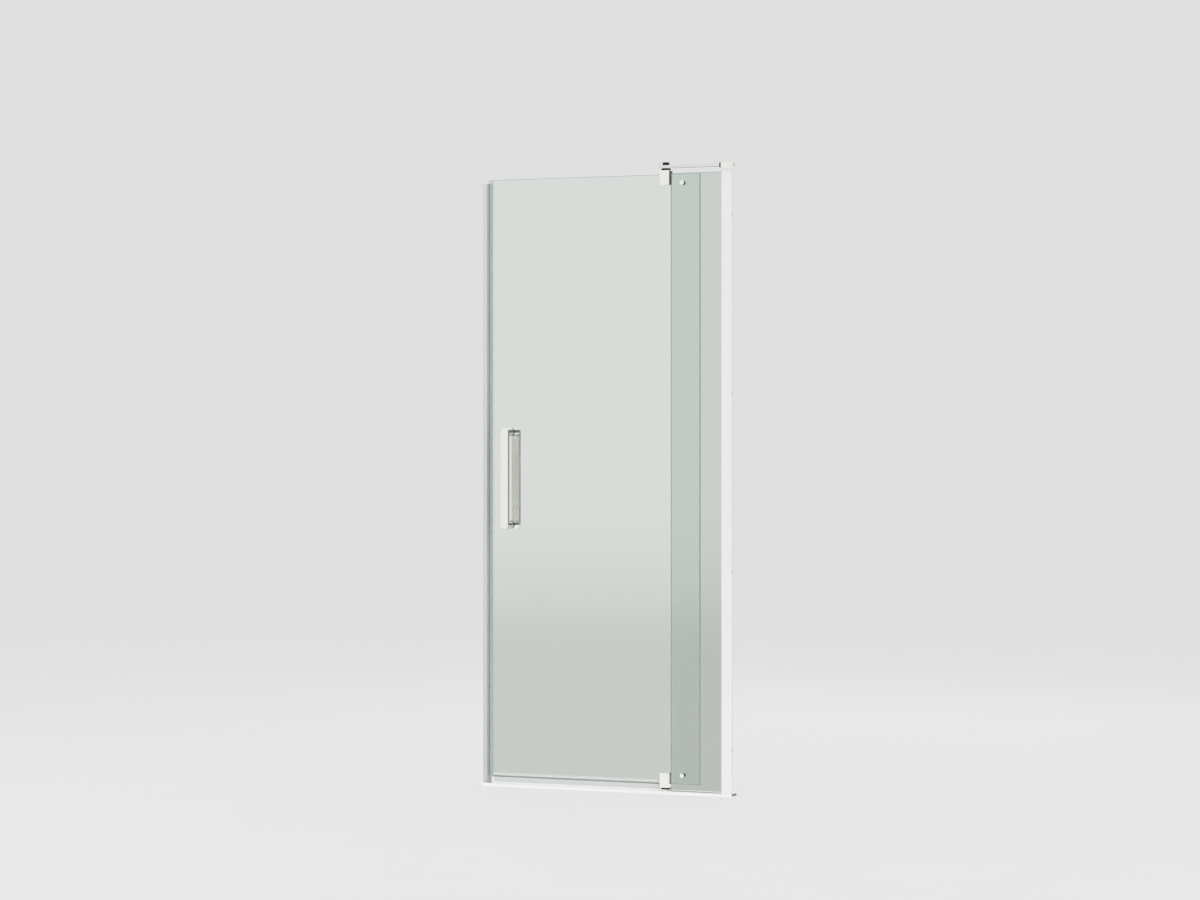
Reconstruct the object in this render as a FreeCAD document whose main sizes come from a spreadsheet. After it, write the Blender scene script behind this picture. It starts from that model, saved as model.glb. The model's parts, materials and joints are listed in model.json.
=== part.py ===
import FreeCAD, Part
import math
import os
import Sketcher

# Pivot shower door for an alcove: a pivoting glass pane, a fixed in-line glass panel on the pivot side,
# a low threshold, two wall jambs and a support bar over the upper pivot. Lengths are in millimetres.
# X runs from the handle-side wall to the pivot-side wall, Y runs into the shower and Z runs up.
# The origin is on the underside of the threshold, halfway between the walls, under the door pane.

Vector = FreeCAD.Vector

doc = FreeCAD.newDocument("PivotShowerDoor")
sheet = doc.addObject("Spreadsheet::Sheet", "Sizes")

SIZES = (
    ("opening_width", 762.0, "wall to wall"),
    ("overall_height", 1778.0, "underside of the threshold to the top of the support bar"),
    ("glass_thickness", 6.0, "both panes"),
    ("glass_arris", 0.5, "polished bevel on the edges of both panes"),
    ("pane_gap", 8.0, "between the fixed panel and the door pane behind it"),
    ("running_gap", 0.3, "between moving pieces that must not rub"),
    ("slip", 0.05, "radial clearance of a pin, screw or stud in its hole"),
    # threshold
    ("sill_depth", 48.0, "front to back"),
    ("sill_height", 10.0, "underside to deck"),
    ("sill_wall", 2.0, "thickness of the deck, floor and rear wall"),
    ("nose_width", 5.5, "front wall of the panel channel"),
    ("nose_chamfer", 2.0, "bevel on the front and rear top edges"),
    ("channel_floor", 3.0, "height of the channel's floor"),
    ("glazing_gap", 1.5, "glazing strip on each face of the fixed panel"),
    ("setting_block_height", 2.0, "under the fixed panel"),
    ("setting_block_length", 25.0, "along the panel"),
    ("infill_side_gap", 0.2, "each side of the infill strip"),
    ("infill_wall", 1.5, "thickness of the infill strip"),
    ("infill_end_gap", 0.5, "infill strip to the fixed panel"),
    # wall jamb, on the pivot side
    ("wall_jamb_width", 30.0, "out from the wall"),
    ("jamb_wall", 2.0, "thickness of both jambs"),
    ("panel_edge_gap", 8.0, "fixed panel to the wall"),
    ("panel_rise", 1.5, "fixed panel above the top of the door pane"),
    ("jamb_screw_radius", 2.5, "holes for the wall screws"),
    ("outer_screw_spacing", 1500.0, "between the end screws of a jamb"),
    ("inner_screw_spacing", 500.0, "between the middle screws of a jamb"),
    # strike jamb, on the handle side
    ("strike_jamb_width", 12.0, "out from the wall, with its cover"),
    ("strike_jamb_front", 12.0, "in front of the door pane's middle"),
    ("strike_jamb_depth", 32.0, "front to back"),
    ("strike_jamb_drop", 10.0, "below the top of the door pane"),
    ("cover_thickness", 2.0, "face of the clip-on cover"),
    ("clip_thickness", 1.2, "legs of the clip-on cover"),
    ("clip_gap", 0.2, "cover legs to the jamb"),
    ("clip_end_gap", 1.0, "cover legs to the jamb's back"),
    ("strike_stop_width", 8.0, "out from the cover"),
    ("strike_stop_depth", 5.0, "front to back"),
    # door pane
    ("seal_gap", 1.0, "edge seal to the strike jamb"),
    ("edge_seal_width", 10.0, "beyond the edge of the pane"),
    ("edge_seal_bulb", 5.0, "thickness of the seal's bulb"),
    ("edge_seal_grip", 6.0, "legs on the pane"),
    ("seal_wall", 1.2, "thickness of the clear seals"),
    ("seal_bevel", 1.0, "corners of the bulb and the stop strip"),
    ("sweep_grip", 10.0, "legs on the pane"),
    ("sweep_lean", 2.0, "how far the fin leans into the shower"),
    ("sweep_clearance", 2.0, "fin to the deck"),
    ("pivot_from_wall", 203.0, "pivot axis to the wall"),
    ("tail_length", 103.0, "pane past the pivot axis"),
    ("swing_clearance", 3.5, "turning hinge to the fixed panel"),
    # hinges
    ("hinge_width", 29.0, "along the pane"),
    ("hinge_height", 42.0, "up the pane"),
    ("hinge_plate", 10.0, "thickness of each half"),
    ("hinge_gasket", 1.0, "between a half and the glass"),
    ("hinge_overhang", 11.5, "beyond the edge of the pane"),
    ("hinge_corner", 2.5, "rounded corners"),
    ("hinge_edge", 1.0, "rounded edges of the outer face"),
    ("notch_depth", 28.0, "notch in the pane"),
    ("notch_corner", 3.0, "rounded corners of the notch"),
    ("web_width", 16.0, "web that fills the notch"),
    ("web_clearance", 1.0, "web to the glass"),
    ("bush_radius", 6.0, "outside of the pivot bush"),
    ("bush_length", 22.0, "pivot bush"),
    ("pin_radius", 4.0, "both pivot pins"),
    ("pin_engagement", 20.0, "pin in its bush"),
    ("thrust_washer", 4.5, "thickness"),
    ("thrust_washer_radius", 13.0, "outside"),
    ("hinge_screw_radius", 2.0, "shank"),
    ("hinge_screw_head", 3.6, "radius of the countersunk head"),
    ("hinge_screw_cone", 2.0, "depth of the countersunk head"),
    ("hinge_screw_length", 24.0, "with its head"),
    ("upper_screw_offset", 10.0, "either side of the pivot axis"),
    ("upper_screw_depth", 5.5, "below the hinge's end face"),
    ("lower_screw_depth", 32.0, "below the hinge's end face"),
    # support bar
    ("bar_height", 9.5, "thickness"),
    ("bar_depth", 22.0, "front to back"),
    ("bar_end_margin", 17.0, "past the pivot axis"),
    ("bar_edge", 0.8, "bevel along the bar"),
    ("bracket_length", 35.0, "out from the wall"),
    ("bracket_wall", 2.2, "around the bar"),
    ("bracket_back", 3.0, "against the wall"),
    ("bracket_edge", 1.2, "rounded edges"),
    ("bracket_screw_radius", 2.0, "holes for the wall screws"),
    ("bracket_screw_spacing", 12.0, "between the two holes"),
    ("bar_end_play", 5.0, "bar's end to the back of the bracket"),
    ("bar_slide_gap", 0.1, "bar in the bracket and the end gasket"),
    ("end_gasket_length", 4.0, "black ring at the mouth of the bracket"),
    ("end_gasket_inset", 0.6, "ring inside the bracket's outline"),
    ("set_screw_radius", 2.5, "under the bracket"),
    ("set_screw_from_wall", 18.0, "under the bracket"),
    ("cap_radius", 9.5, "black cap nut"),
    ("cap_height", 8.0, "black cap nut"),
    ("cap_edge", 1.5, "rounded top edge"),
    ("cap_thread_depth", 5.5, "pin inside the cap nut"),
    # lower pivot
    ("pivot_base_height", 3.0, "disc on the deck"),
    ("pivot_nut_height", 4.0, "bar nut under the deck"),
    ("pivot_nut_width", 13.0, "front to back"),
    ("pivot_nut_length", 30.0, "along the threshold"),
    # closing stops
    ("bumper_offset", 55.0, "from the pivot axis"),
    ("bumper_inset", 26.0, "from the end of the door pane"),
    ("bumper_cap_radius", 6.5, "disc outside the panel"),
    ("bumper_cap_height", 4.0, "disc outside the panel"),
    ("bumper_cap_edge", 0.8, "rounded edge of the disc"),
    ("bumper_washer", 1.0, "clear washer under the disc"),
    ("bumper_washer_radius", 6.0, "clear washer under the disc"),
    ("bumper_radius", 6.0, "soft stop between the panes"),
    ("bumper_stem_radius", 3.0, "threaded stem"),
    ("bumper_stem_engagement", 4.0, "stem in the soft stop"),
    ("bumper_hole_radius", 4.0, "hole in the fixed panel"),
    # handle
    ("handle_from_edge", 58.0, "handle to the free edge of the pane"),
    ("handle_centre_height", 890.0, "middle of the handle"),
    ("handle_length", 292.0, "overall"),
    ("handle_width", 24.0, "bars and posts"),
    ("handle_thickness", 10.0, "bars"),
    ("handle_edge", 1.2, "rounded edges of the bars"),
    ("handle_standoff", 35.0, "glass to the back of a bar"),
    ("handle_washer", 1.5, "between a post and the glass"),
    ("spigot_radius", 6.0, "post in the bar"),
    ("spigot_length", 4.8, "post in the bar"),
    ("socket_depth", 5.0, "in the bar"),
    ("stud_radius", 4.0, "through-stud"),
    ("stud_engagement", 22.0, "stud in each post"),
    ("stud_bore_depth", 24.0, "bore of a post"),
    ("glass_hole_radius", 6.0, "handle holes in the pane"),
    ("sleeve_gap", 0.1, "sleeve in the glass hole"),
    ("grub_radius", 2.0, "set screw in an inner post"),
    ("grub_from_glass", 8.5, "set screw to the glass"),
    ("grub_inset", 0.4, "set screw below the post's surface"),
)


class Length:
    """A length worked out from named sizes: its formula on the sheet and its present value."""

    def __init__(self, formula, value):
        self.formula = formula
        self.value = value

    def combined(self, sign, other, value):
        return Length(f"({self.formula} {sign} {as_length(other).formula})", value)

    def __add__(self, other):
        return self.combined("+", other, self.value + as_length(other).value)

    def __sub__(self, other):
        return self.combined("-", other, self.value - as_length(other).value)

    def __mul__(self, other):
        return self.combined("*", other, self.value * as_length(other).value)

    def __truediv__(self, other):
        return self.combined("/", other, self.value / as_length(other).value)

    def __neg__(self):
        return Length(f"(0 - {self.formula})", -self.value)

    def __pow__(self, power):
        return self.combined("^", power, self.value ** power)

    def root(self):
        return Length(f"sqrt({self.formula})", math.sqrt(self.value))


def as_length(number):
    """A plain number as a Length."""
    if isinstance(number, Length):
        return number
    return Length(f"({number})", float(number))


class NamedSizes:
    """Every size on the sheet under its own name."""


size = NamedSizes()
for row, (name, value, note) in enumerate(SIZES, 1):
    sheet.set(f"A{row}", name)
    sheet.set(f"B{row}", str(value))
    sheet.set(f"C{row}", note)
    sheet.setAlias(f"B{row}", name)
    setattr(size, name, Length(f"Sizes.{name}", value))
doc.recompute()

# Places that several pieces share

half_opening = size.opening_width / 2
half_glass = size.glass_thickness / 2
half_hinge = half_glass + size.hinge_gasket + size.hinge_plate

pivot_x = half_opening - size.pivot_from_wall
door_left = size.strike_jamb_width + size.seal_gap + size.edge_seal_width - half_opening
door_right = pivot_x + size.tail_length

deck_z = size.sill_height
lower_hinge_z = deck_z + size.pivot_base_height + size.thrust_washer
bar_z = size.overall_height - size.bar_height
upper_hinge_z = bar_z - size.thrust_washer - size.running_gap
door_bottom = lower_hinge_z + size.hinge_overhang
door_top = upper_hinge_z - size.hinge_overhang
sweep_height = door_bottom - deck_z - size.sweep_clearance

panel_back = -(half_glass + size.pane_gap)
panel_front = panel_back - size.glass_thickness
hinge_reach = ((size.hinge_width / 2) ** 2 + half_hinge ** 2).root()
panel_left = pivot_x + ((hinge_reach + size.swing_clearance) ** 2 - panel_back ** 2).root()
panel_right = half_opening - size.panel_edge_gap
panel_bottom = size.channel_floor + size.setting_block_height
panel_top = door_top + size.panel_rise

channel_front = panel_front - size.glazing_gap
channel_back = panel_back + size.glazing_gap
channel_middle = (channel_front + channel_back) / 2
sill_front = channel_front - size.nose_width
sill_back = sill_front + size.sill_depth

strike_top = door_top - size.strike_jamb_drop
strike_front = -size.strike_jamb_front
strike_back = strike_front + size.strike_jamb_depth
strike_face = size.strike_jamb_width - half_opening

bracket_left = half_opening - size.bracket_length
bar_left = pivot_x - size.bar_end_margin
bar_right = half_opening - size.bracket_back - size.bar_end_play

handle_x = door_left + size.handle_from_edge
handle_reach = (size.handle_length - size.handle_width) / 2
post_start = half_glass + size.handle_washer
post_end = half_glass + size.handle_standoff

bumper_x = pivot_x + size.bumper_offset
bumper_heights = (door_bottom + size.bumper_inset, door_top - size.bumper_inset)
post_heights = (size.handle_centre_height - handle_reach, size.handle_centre_height + handle_reach)

# Directions in which a cylinder or an extrusion can run, as turns of the Z axis

TURNS = {
    "+Z": FreeCAD.Rotation(),
    "-Z": FreeCAD.Rotation(Vector(1, 0, 0), 180),
    "+Y": FreeCAD.Rotation(Vector(1, 0, 0), -90),
    "-Y": FreeCAD.Rotation(Vector(1, 0, 0), 90),
    "+X": FreeCAD.Rotation(Vector(0, 1, 0), 90),
    "-X": FreeCAD.Rotation(Vector(0, 1, 0), -90),
}
UPSIDE_DOWN = FreeCAD.Rotation(Vector(0, 1, 0), 180)
TOUCH = 1e-5

nodes = []
cuts = []


# Building blocks

def bind(thing, path, length):
    """Tie one property of an object to its formula."""
    thing.setExpression(path, as_length(length).formula)


def place(thing, x=0, y=0, z=0, turn=None):
    """Put an object at a place tied to the sheet."""
    thing.Placement = FreeCAD.Placement(Vector(), turn or FreeCAD.Rotation())
    for axis, length in zip("xyz", (x, y, z)):
        bind(thing, f"Placement.Base.{axis}", length)
    return thing


def node(thing, label, solids=1):
    """Record an object as one sub-part of the door, with the number of solids it holds."""
    thing.Label = label
    nodes.append((thing, label, solids))
    return thing


def box(name, x, y, z):
    """A box between two lengths along each axis."""
    made = doc.addObject("Part::Box", name)
    for path, (low, high) in zip(("Length", "Width", "Height"), (x, y, z)):
        bind(made, path, as_length(high) - low)
    return place(made, x[0], y[0], z[0])


def cylinder(name, radius, length, x, y, z, direction="+Z"):
    """A cylinder from a point, running in one direction."""
    made = doc.addObject("Part::Cylinder", name)
    bind(made, "Radius", radius)
    bind(made, "Height", length)
    return place(made, x, y, z, TURNS[direction])


def cone(name, start_radius, end_radius, length, x, y, z, direction):
    """A cone from a point, running in one direction."""
    made = doc.addObject("Part::Cone", name)
    bind(made, "Radius1", start_radius)
    bind(made, "Radius2", end_radius)
    bind(made, "Height", length)
    return place(made, x, y, z, TURNS[direction])


def cut(name, base, tool):
    """One shape with another taken out of it."""
    made = doc.addObject("Part::Cut", name)
    made.Base = base
    made.Tool = tool
    return made


def fuse(name, *shapes):
    """Shapes joined into one solid."""
    made = doc.addObject("Part::MultiFuse", name)
    made.Shapes = list(shapes)
    made.Refine = True
    return made


def group(name, *shapes):
    """Separate solids kept together as one sub-part."""
    made = doc.addObject("Part::Compound", name)
    made.Links = list(shapes)
    return made


def ring(name, outer, inner, length, x, y, z, direction="+Z"):
    """A washer or bush."""
    outside = cylinder(f"{name}_outside", outer, length, x, y, z, direction)
    hole = cylinder(f"{name}_hole", inner, length, x, y, z, direction)
    return cut(name, outside, hole)


def new_body(name, x=0, y=0, z=0, turn=None):
    """An empty body at a place tied to the sheet."""
    return place(doc.addObject("PartDesign::Body", name), x, y, z, turn)


def sketch(body, name, plane, offset=0):
    """A sketch on one of the body's own planes, moved along that plane's normal."""
    made = body.newObject("Sketcher::SketchObject", f"{body.Name}_{name}")
    origin_plane = next(part for part in body.Origin.OriginFeatures if part.Role == f"{plane}_Plane")
    made.AttachmentSupport = [(origin_plane, "")]
    made.MapMode = "FlatFace"
    bind(made, "AttachmentOffset.Base.z", offset)
    return made


def hold(target, kind, *rest):
    """A dimension of a sketch tied to its formula, which is the last argument."""
    length = as_length(rest[-1])
    index = target.addConstraint(Sketcher.Constraint(kind, *rest[:-1], length.value))
    bind(target, f"Constraints[{index}]", length)


def outline(target, *corners):
    """A closed outline of straight lines, with each corner held from the sketch's origin."""
    first = target.GeometryCount
    points = [Vector(as_length(x).value, as_length(y).value) for x, y in corners]
    count = len(points)
    for number in range(count):
        target.addGeometry(Part.LineSegment(points[number], points[(number + 1) % count]))
    for number in range(count):
        following = first + (number + 1) % count
        target.addConstraint(Sketcher.Constraint("Coincident", first + number, 2, following, 1))
    for number, (x, y) in enumerate(corners):
        hold(target, "DistanceX", -1, 1, first + number, 1, x)
        hold(target, "DistanceY", -1, 1, first + number, 1, y)
    return target


def rectangle(target, x, y):
    """A closed rectangle between two lengths along each axis of the sketch."""
    return outline(target, (x[0], y[0]), (x[1], y[0]), (x[1], y[1]), (x[0], y[1]))


def circle(target, x, y, radius):
    """A circle with its centre held from the sketch's origin."""
    middle = Vector(as_length(x).value, as_length(y).value)
    index = target.addGeometry(Part.Circle(middle, Vector(0, 0, 1), as_length(radius).value))
    hold(target, "DistanceX", -1, 1, index, 3, x)
    hold(target, "DistanceY", -1, 1, index, 3, y)
    hold(target, "Radius", index, radius)
    return target


def stadium(target, width, length):
    """An upright slot shape with round ends, centred on the sketch's origin."""
    radius = width / 2
    reach = (length - width) / 2
    up = Vector(0, reach.value)
    side = Vector(radius.value, 0)
    crown = Part.Circle(up, Vector(0, 0, 1), radius.value)
    foot = Part.Circle(-up, Vector(0, 0, 1), radius.value)
    target.addGeometry(Part.ArcOfCircle(crown, 0, math.pi))
    target.addGeometry(Part.LineSegment(up - side, -up - side))
    target.addGeometry(Part.ArcOfCircle(foot, math.pi, 2 * math.pi))
    target.addGeometry(Part.LineSegment(side - up, side + up))
    for one, other in ((0, 1), (1, 2), (2, 3), (3, 0)):
        target.addConstraint(Sketcher.Constraint("Tangent", one, 2, other, 1))
    target.addConstraint(Sketcher.Constraint("PointOnObject", 0, 3, -2))
    target.addConstraint(Sketcher.Constraint("PointOnObject", 2, 3, -2))
    target.addConstraint(Sketcher.Constraint("Equal", 0, 2))
    hold(target, "DistanceY", -1, 1, 0, 3, reach)
    hold(target, "DistanceY", 2, 3, -1, 1, reach)
    hold(target, "Radius", 0, radius)
    return target


def pad(body, profile, length, backwards=False):
    """Material from a sketch, along its normal or against it."""
    made = body.newObject("PartDesign::Pad", f"{profile.Name}_pad")
    made.Profile = profile
    made.Reversed = backwards
    bind(made, "Length", length)
    return made


def pocket(body, profile, length, along_normal=False):
    """A cut from a sketch, against its normal or along it."""
    made = body.newObject("PartDesign::Pocket", f"{profile.Name}_pocket")
    made.Profile = profile
    made.Reversed = along_normal
    bind(made, "Length", length)
    cuts.append(made)
    return made


def dress(body, kind, name, test, amount):
    """A fillet or chamfer on the edges of the body's last feature that pass a test."""
    doc.recompute()
    base = body.Tip
    names = [f"Edge{number}" for number, edge in enumerate(base.Shape.Edges, 1) if test(edge)]
    made = body.newObject(f"PartDesign::{kind}", f"{body.Name}_{name}")
    made.Base = (base, names)
    bind(made, "Radius" if kind == "Fillet" else "Size", amount)
    return made


def runs_along(edge, axis):
    """Whether a straight edge runs along one axis."""
    bounds = edge.BoundBox
    return all(
        getattr(bounds, f"{other}Length") < TOUCH
        for other in "XYZ"
        if other != axis
    )


def lies_at(edge, axis, *places):
    """Whether an edge lies in a plane across one axis, at one of the places."""
    bounds = edge.BoundBox
    low = getattr(bounds, f"{axis}Min")
    high = getattr(bounds, f"{axis}Max")
    return high - low < TOUCH and any(abs(low - place_at.value) < TOUCH for place_at in places)


# Threshold

def make_sill():
    body = new_body("threshold_sill_body", -half_opening)
    section = sketch(body, "section", "YZ")
    outline(
        section,
        (sill_front, 0),
        (sill_back, 0),
        (sill_back, deck_z - size.nose_chamfer),
        (sill_back - size.nose_chamfer, deck_z),
        (channel_back, deck_z),
        (channel_back, size.channel_floor),
        (channel_front, size.channel_floor),
        (channel_front, deck_z),
        (sill_front + size.nose_chamfer, deck_z),
        (sill_front, deck_z - size.nose_chamfer),
    )
    chamber_y = (channel_back + size.sill_wall, sill_back - size.sill_wall)
    rectangle(section, chamber_y, (size.sill_wall, deck_z - size.sill_wall))
    pad(body, section, size.opening_width)
    pin_hole = sketch(body, "pin_hole", "XY", deck_z)
    circle(pin_hole, half_opening + pivot_x, 0, size.pin_radius + size.slip)
    pocket(body, pin_hole, size.sill_wall)
    node(body, "threshold_sill")


def make_infill():
    body = new_body("sill_channel_infill_body", -half_opening)
    section = sketch(body, "section", "YZ")
    front = channel_front + size.infill_side_gap
    back = channel_back - size.infill_side_gap
    outline(
        section,
        (front, size.channel_floor),
        (front + size.infill_wall, size.channel_floor),
        (front + size.infill_wall, deck_z - size.infill_wall),
        (back - size.infill_wall, deck_z - size.infill_wall),
        (back - size.infill_wall, size.channel_floor),
        (back, size.channel_floor),
        (back, deck_z),
        (front, deck_z),
    )
    pad(body, section, half_opening + panel_left - size.infill_end_gap)
    node(body, "sill_channel_infill")


# Fixed panel and the wall jamb that holds it

def make_fixed_panel():
    body = new_body("fixed_panel_body", panel_left, panel_back, panel_bottom)
    face = sketch(body, "face", "XZ")
    rectangle(face, (0, panel_right - panel_left), (0, panel_top - panel_bottom))
    pad(body, face, size.glass_thickness)
    holes = sketch(body, "holes", "XZ")
    for height in bumper_heights:
        circle(holes, bumper_x - panel_left, height - panel_bottom, size.bumper_hole_radius)
    pocket(body, holes, size.glass_thickness, along_normal=True)
    on_faces = lambda edge: lies_at(edge, "Y", as_length(0), -size.glass_thickness)
    dress(body, "Chamfer", "arris", on_faces, size.glass_arris)
    node(body, "fixed_panel")


def make_panel_seating():
    length = panel_right - panel_left
    blocks = []
    for number, share in enumerate((1, 3)):
        middle = panel_left + length * share / 4
        start = middle - size.setting_block_length / 2
        blocks.append(
            box(
                f"setting_block_{number}",
                (start, start + size.setting_block_length),
                (panel_front, panel_back),
                (size.channel_floor, panel_bottom),
            )
        )
    node(group("setting_blocks_group", *blocks), "setting_blocks", 2)
    sides = {"front": (channel_front, panel_front), "back": (panel_back, channel_back)}
    sill_strips = [
        box(f"sill_strip_{side}", (panel_left, panel_right), y, (size.channel_floor, deck_z))
        for side, y in sides.items()
    ]
    node(group("panel_sill_gaskets_group", *sill_strips), "panel_sill_gaskets", 2)
    jamb_x = (half_opening - size.wall_jamb_width, panel_right)
    jamb_strips = [
        box(f"jamb_strip_{side}", jamb_x, y, (deck_z, panel_top))
        for side, y in sides.items()
    ]
    node(group("panel_jamb_gaskets_group", *jamb_strips), "panel_jamb_gaskets", 2)


def screw_holes(body, top, across):
    """Four wall-screw holes up a jamb's back, which lies in the body's YZ plane."""
    holes = sketch(body, "screw_holes", "YZ")
    middle = (top - deck_z) / 2
    for spacing in (size.outer_screw_spacing, size.inner_screw_spacing):
        for height in (middle - spacing / 2, middle + spacing / 2):
            circle(holes, across, height, size.jamb_screw_radius)
    return holes


def make_wall_jamb():
    body = new_body("wall_jamb_body", half_opening, 0, deck_z)
    section = sketch(body, "section", "XY")
    mouth = -size.wall_jamb_width
    outline(
        section,
        (mouth, channel_front - size.jamb_wall),
        (0, channel_front - size.jamb_wall),
        (0, channel_back + size.jamb_wall),
        (mouth, channel_back + size.jamb_wall),
        (mouth, channel_back),
        (-size.jamb_wall, channel_back),
        (-size.jamb_wall, channel_front),
        (mouth, channel_front),
    )
    pad(body, section, panel_top - deck_z)
    pocket(body, screw_holes(body, panel_top, channel_middle), size.jamb_wall)
    node(body, "wall_jamb")


# Strike jamb, its cover and the stop that the door closes against

def make_strike_jamb():
    body = new_body("strike_jamb_body", -half_opening, 0, deck_z)
    section = sketch(body, "section", "XY")
    lip = size.strike_jamb_width - size.cover_thickness
    outline(
        section,
        (0, strike_front),
        (lip, strike_front),
        (lip, strike_front + size.jamb_wall),
        (size.jamb_wall, strike_front + size.jamb_wall),
        (size.jamb_wall, strike_back - size.jamb_wall),
        (lip, strike_back - size.jamb_wall),
        (lip, strike_back),
        (0, strike_back),
    )
    pad(body, section, strike_top - deck_z)
    holes = screw_holes(body, strike_top, (strike_front + strike_back) / 2)
    pocket(body, holes, size.jamb_wall, along_normal=True)
    node(body, "strike_jamb")


def make_strike_cover():
    body = new_body("strike_jamb_cover_body", strike_face, 0, deck_z)
    section = sketch(body, "section", "XY")
    front = strike_front + size.jamb_wall + size.clip_gap
    back = strike_back - size.jamb_wall - size.clip_gap
    clip_end = size.jamb_wall + size.clip_end_gap - size.strike_jamb_width
    outline(
        section,
        (0, strike_front),
        (0, strike_back),
        (-size.cover_thickness, strike_back),
        (-size.cover_thickness, back),
        (clip_end, back),
        (clip_end, back - size.clip_thickness),
        (-size.cover_thickness, back - size.clip_thickness),
        (-size.cover_thickness, front + size.clip_thickness),
        (clip_end, front + size.clip_thickness),
        (clip_end, front),
        (-size.cover_thickness, front),
        (-size.cover_thickness, strike_front),
    )
    pad(body, section, strike_top - deck_z)
    node(body, "strike_jamb_cover")


def make_strike_stop():
    body = new_body("strike_stop_body", strike_face, size.edge_seal_bulb / 2 + size.running_gap, deck_z)
    section = sketch(body, "section", "XY")
    bevel = size.seal_bevel
    outline(
        section,
        (0, 0),
        (size.strike_stop_width - bevel, 0),
        (size.strike_stop_width, bevel),
        (size.strike_stop_width, size.strike_stop_depth - bevel),
        (size.strike_stop_width - bevel, size.strike_stop_depth),
        (0, size.strike_stop_depth),
    )
    pad(body, section, strike_top - deck_z)
    node(body, "strike_stop")


# Door pane and its clear seals

def make_door_glass():
    body = new_body("door_glass_body", pivot_x, half_glass, door_bottom)
    height = door_top - door_bottom
    face = sketch(body, "face", "XZ")
    rectangle(face, (door_left - pivot_x, size.tail_length), (0, height))
    pad(body, face, size.glass_thickness)
    notches = sketch(body, "notches", "XZ")
    notch_x = (-(size.web_width / 2 + size.web_clearance), size.web_width / 2 + size.web_clearance)
    rectangle(notches, notch_x, (0, size.notch_depth))
    rectangle(notches, notch_x, (height - size.notch_depth, height))
    pocket(body, notches, size.glass_thickness, along_normal=True)
    inner_corner = lambda edge: (
        runs_along(edge, "Y")
        and lies_at(edge, "X", *notch_x)
        and lies_at(edge, "Z", size.notch_depth, height - size.notch_depth)
    )
    dress(body, "Fillet", "notch_corners", inner_corner, size.notch_corner)
    holes = sketch(body, "handle_holes", "XZ")
    for post_height in post_heights:
        circle(holes, handle_x - pivot_x, post_height - door_bottom, size.glass_hole_radius)
    pocket(body, holes, size.glass_thickness, along_normal=True)
    on_faces = lambda edge: lies_at(edge, "Y", as_length(0), -size.glass_thickness)
    dress(body, "Chamfer", "arris", on_faces, size.glass_arris)
    node(body, "door_glass")


def make_edge_seal():
    body = new_body("door_edge_seal_body", door_left, 0, door_bottom)
    section = sketch(body, "section", "XY")
    tip = -size.edge_seal_width
    bulb = size.edge_seal_bulb / 2
    wall = size.seal_wall
    outside = half_glass + wall
    bevel = size.seal_bevel
    outline(
        section,
        (tip + bevel, -bulb),
        (-wall, -bulb),
        (-wall, -outside),
        (size.edge_seal_grip, -outside),
        (size.edge_seal_grip, -half_glass),
        (0, -half_glass),
        (0, half_glass),
        (size.edge_seal_grip, half_glass),
        (size.edge_seal_grip, outside),
        (-wall, outside),
        (-wall, bulb),
        (tip + bevel, bulb),
        (tip, bulb - bevel),
        (tip, bevel - bulb),
    )
    rectangle(section, (tip + wall, -wall * 2), (wall - bulb, bulb - wall))
    pad(body, section, door_top - door_bottom)
    node(body, "door_edge_seal")


def make_sweep():
    start = door_left + size.edge_seal_grip + size.running_gap
    end = pivot_x - size.hinge_width / 2 - size.running_gap
    body = new_body("door_sweep_body", start, 0, door_bottom)
    section = sketch(body, "section", "YZ")
    wall = size.seal_wall
    outside = half_glass + wall
    outline(
        section,
        (-outside, -wall),
        (-wall / 2, -wall),
        (size.sweep_lean - wall / 2, -sweep_height),
        (size.sweep_lean + wall / 2, -sweep_height),
        (wall / 2, -wall),
        (outside, -wall),
        (outside, size.sweep_grip),
        (half_glass, size.sweep_grip),
        (half_glass, 0),
        (-half_glass, 0),
        (-half_glass, size.sweep_grip),
        (-outside, size.sweep_grip),
    )
    pad(body, section, end - start)
    node(body, "door_sweep")


# Hinges. Each piece is drawn hanging down from the upper hinge's end face, with the pivot axis at X = Y = 0,
# and the lower hinge is the same piece turned upside down.

def hinge_web(width_gain, height_gain):
    """The T that fills the overhang and the notch: full width beyond the glass, narrow in the notch."""
    wide = size.hinge_width / 2
    narrow = size.web_width / 2 + width_gain
    shoulder = -(size.hinge_overhang - size.web_clearance) - height_gain
    foot = size.web_clearance - size.hinge_overhang - size.notch_depth - height_gain
    return wide, narrow, shoulder, foot


def hinge_screw_places():
    return (
        (-size.upper_screw_offset, -size.upper_screw_depth),
        (size.upper_screw_offset, -size.upper_screw_depth),
        (as_length(0), -size.lower_screw_depth),
    )


def hinge_plate_pad(body, near, away):
    """The plate of one half, with rounded corners and a rounded show face."""
    outside = half_hinge if away else -half_hinge
    face = sketch(body, "plate", "XZ", near)
    rectangle(face, (-size.hinge_width / 2, size.hinge_width / 2), (-size.hinge_height, 0))
    pad(body, face, size.hinge_plate, backwards=not away)
    corners = lambda edge: runs_along(edge, "Y") and edge.BoundBox.YLength > TOUCH
    dress(body, "Fillet", "corners", corners, size.hinge_corner)
    show_face = lambda edge: lies_at(edge, "Y", -outside)
    dress(body, "Fillet", "show_edges", show_face, size.hinge_edge)


def bush_bore(body):
    mouth = circle(sketch(body, "bore", "XY"), 0, 0, size.bush_radius + size.slip)
    pocket(body, mouth, size.bush_length + size.running_gap)


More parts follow.
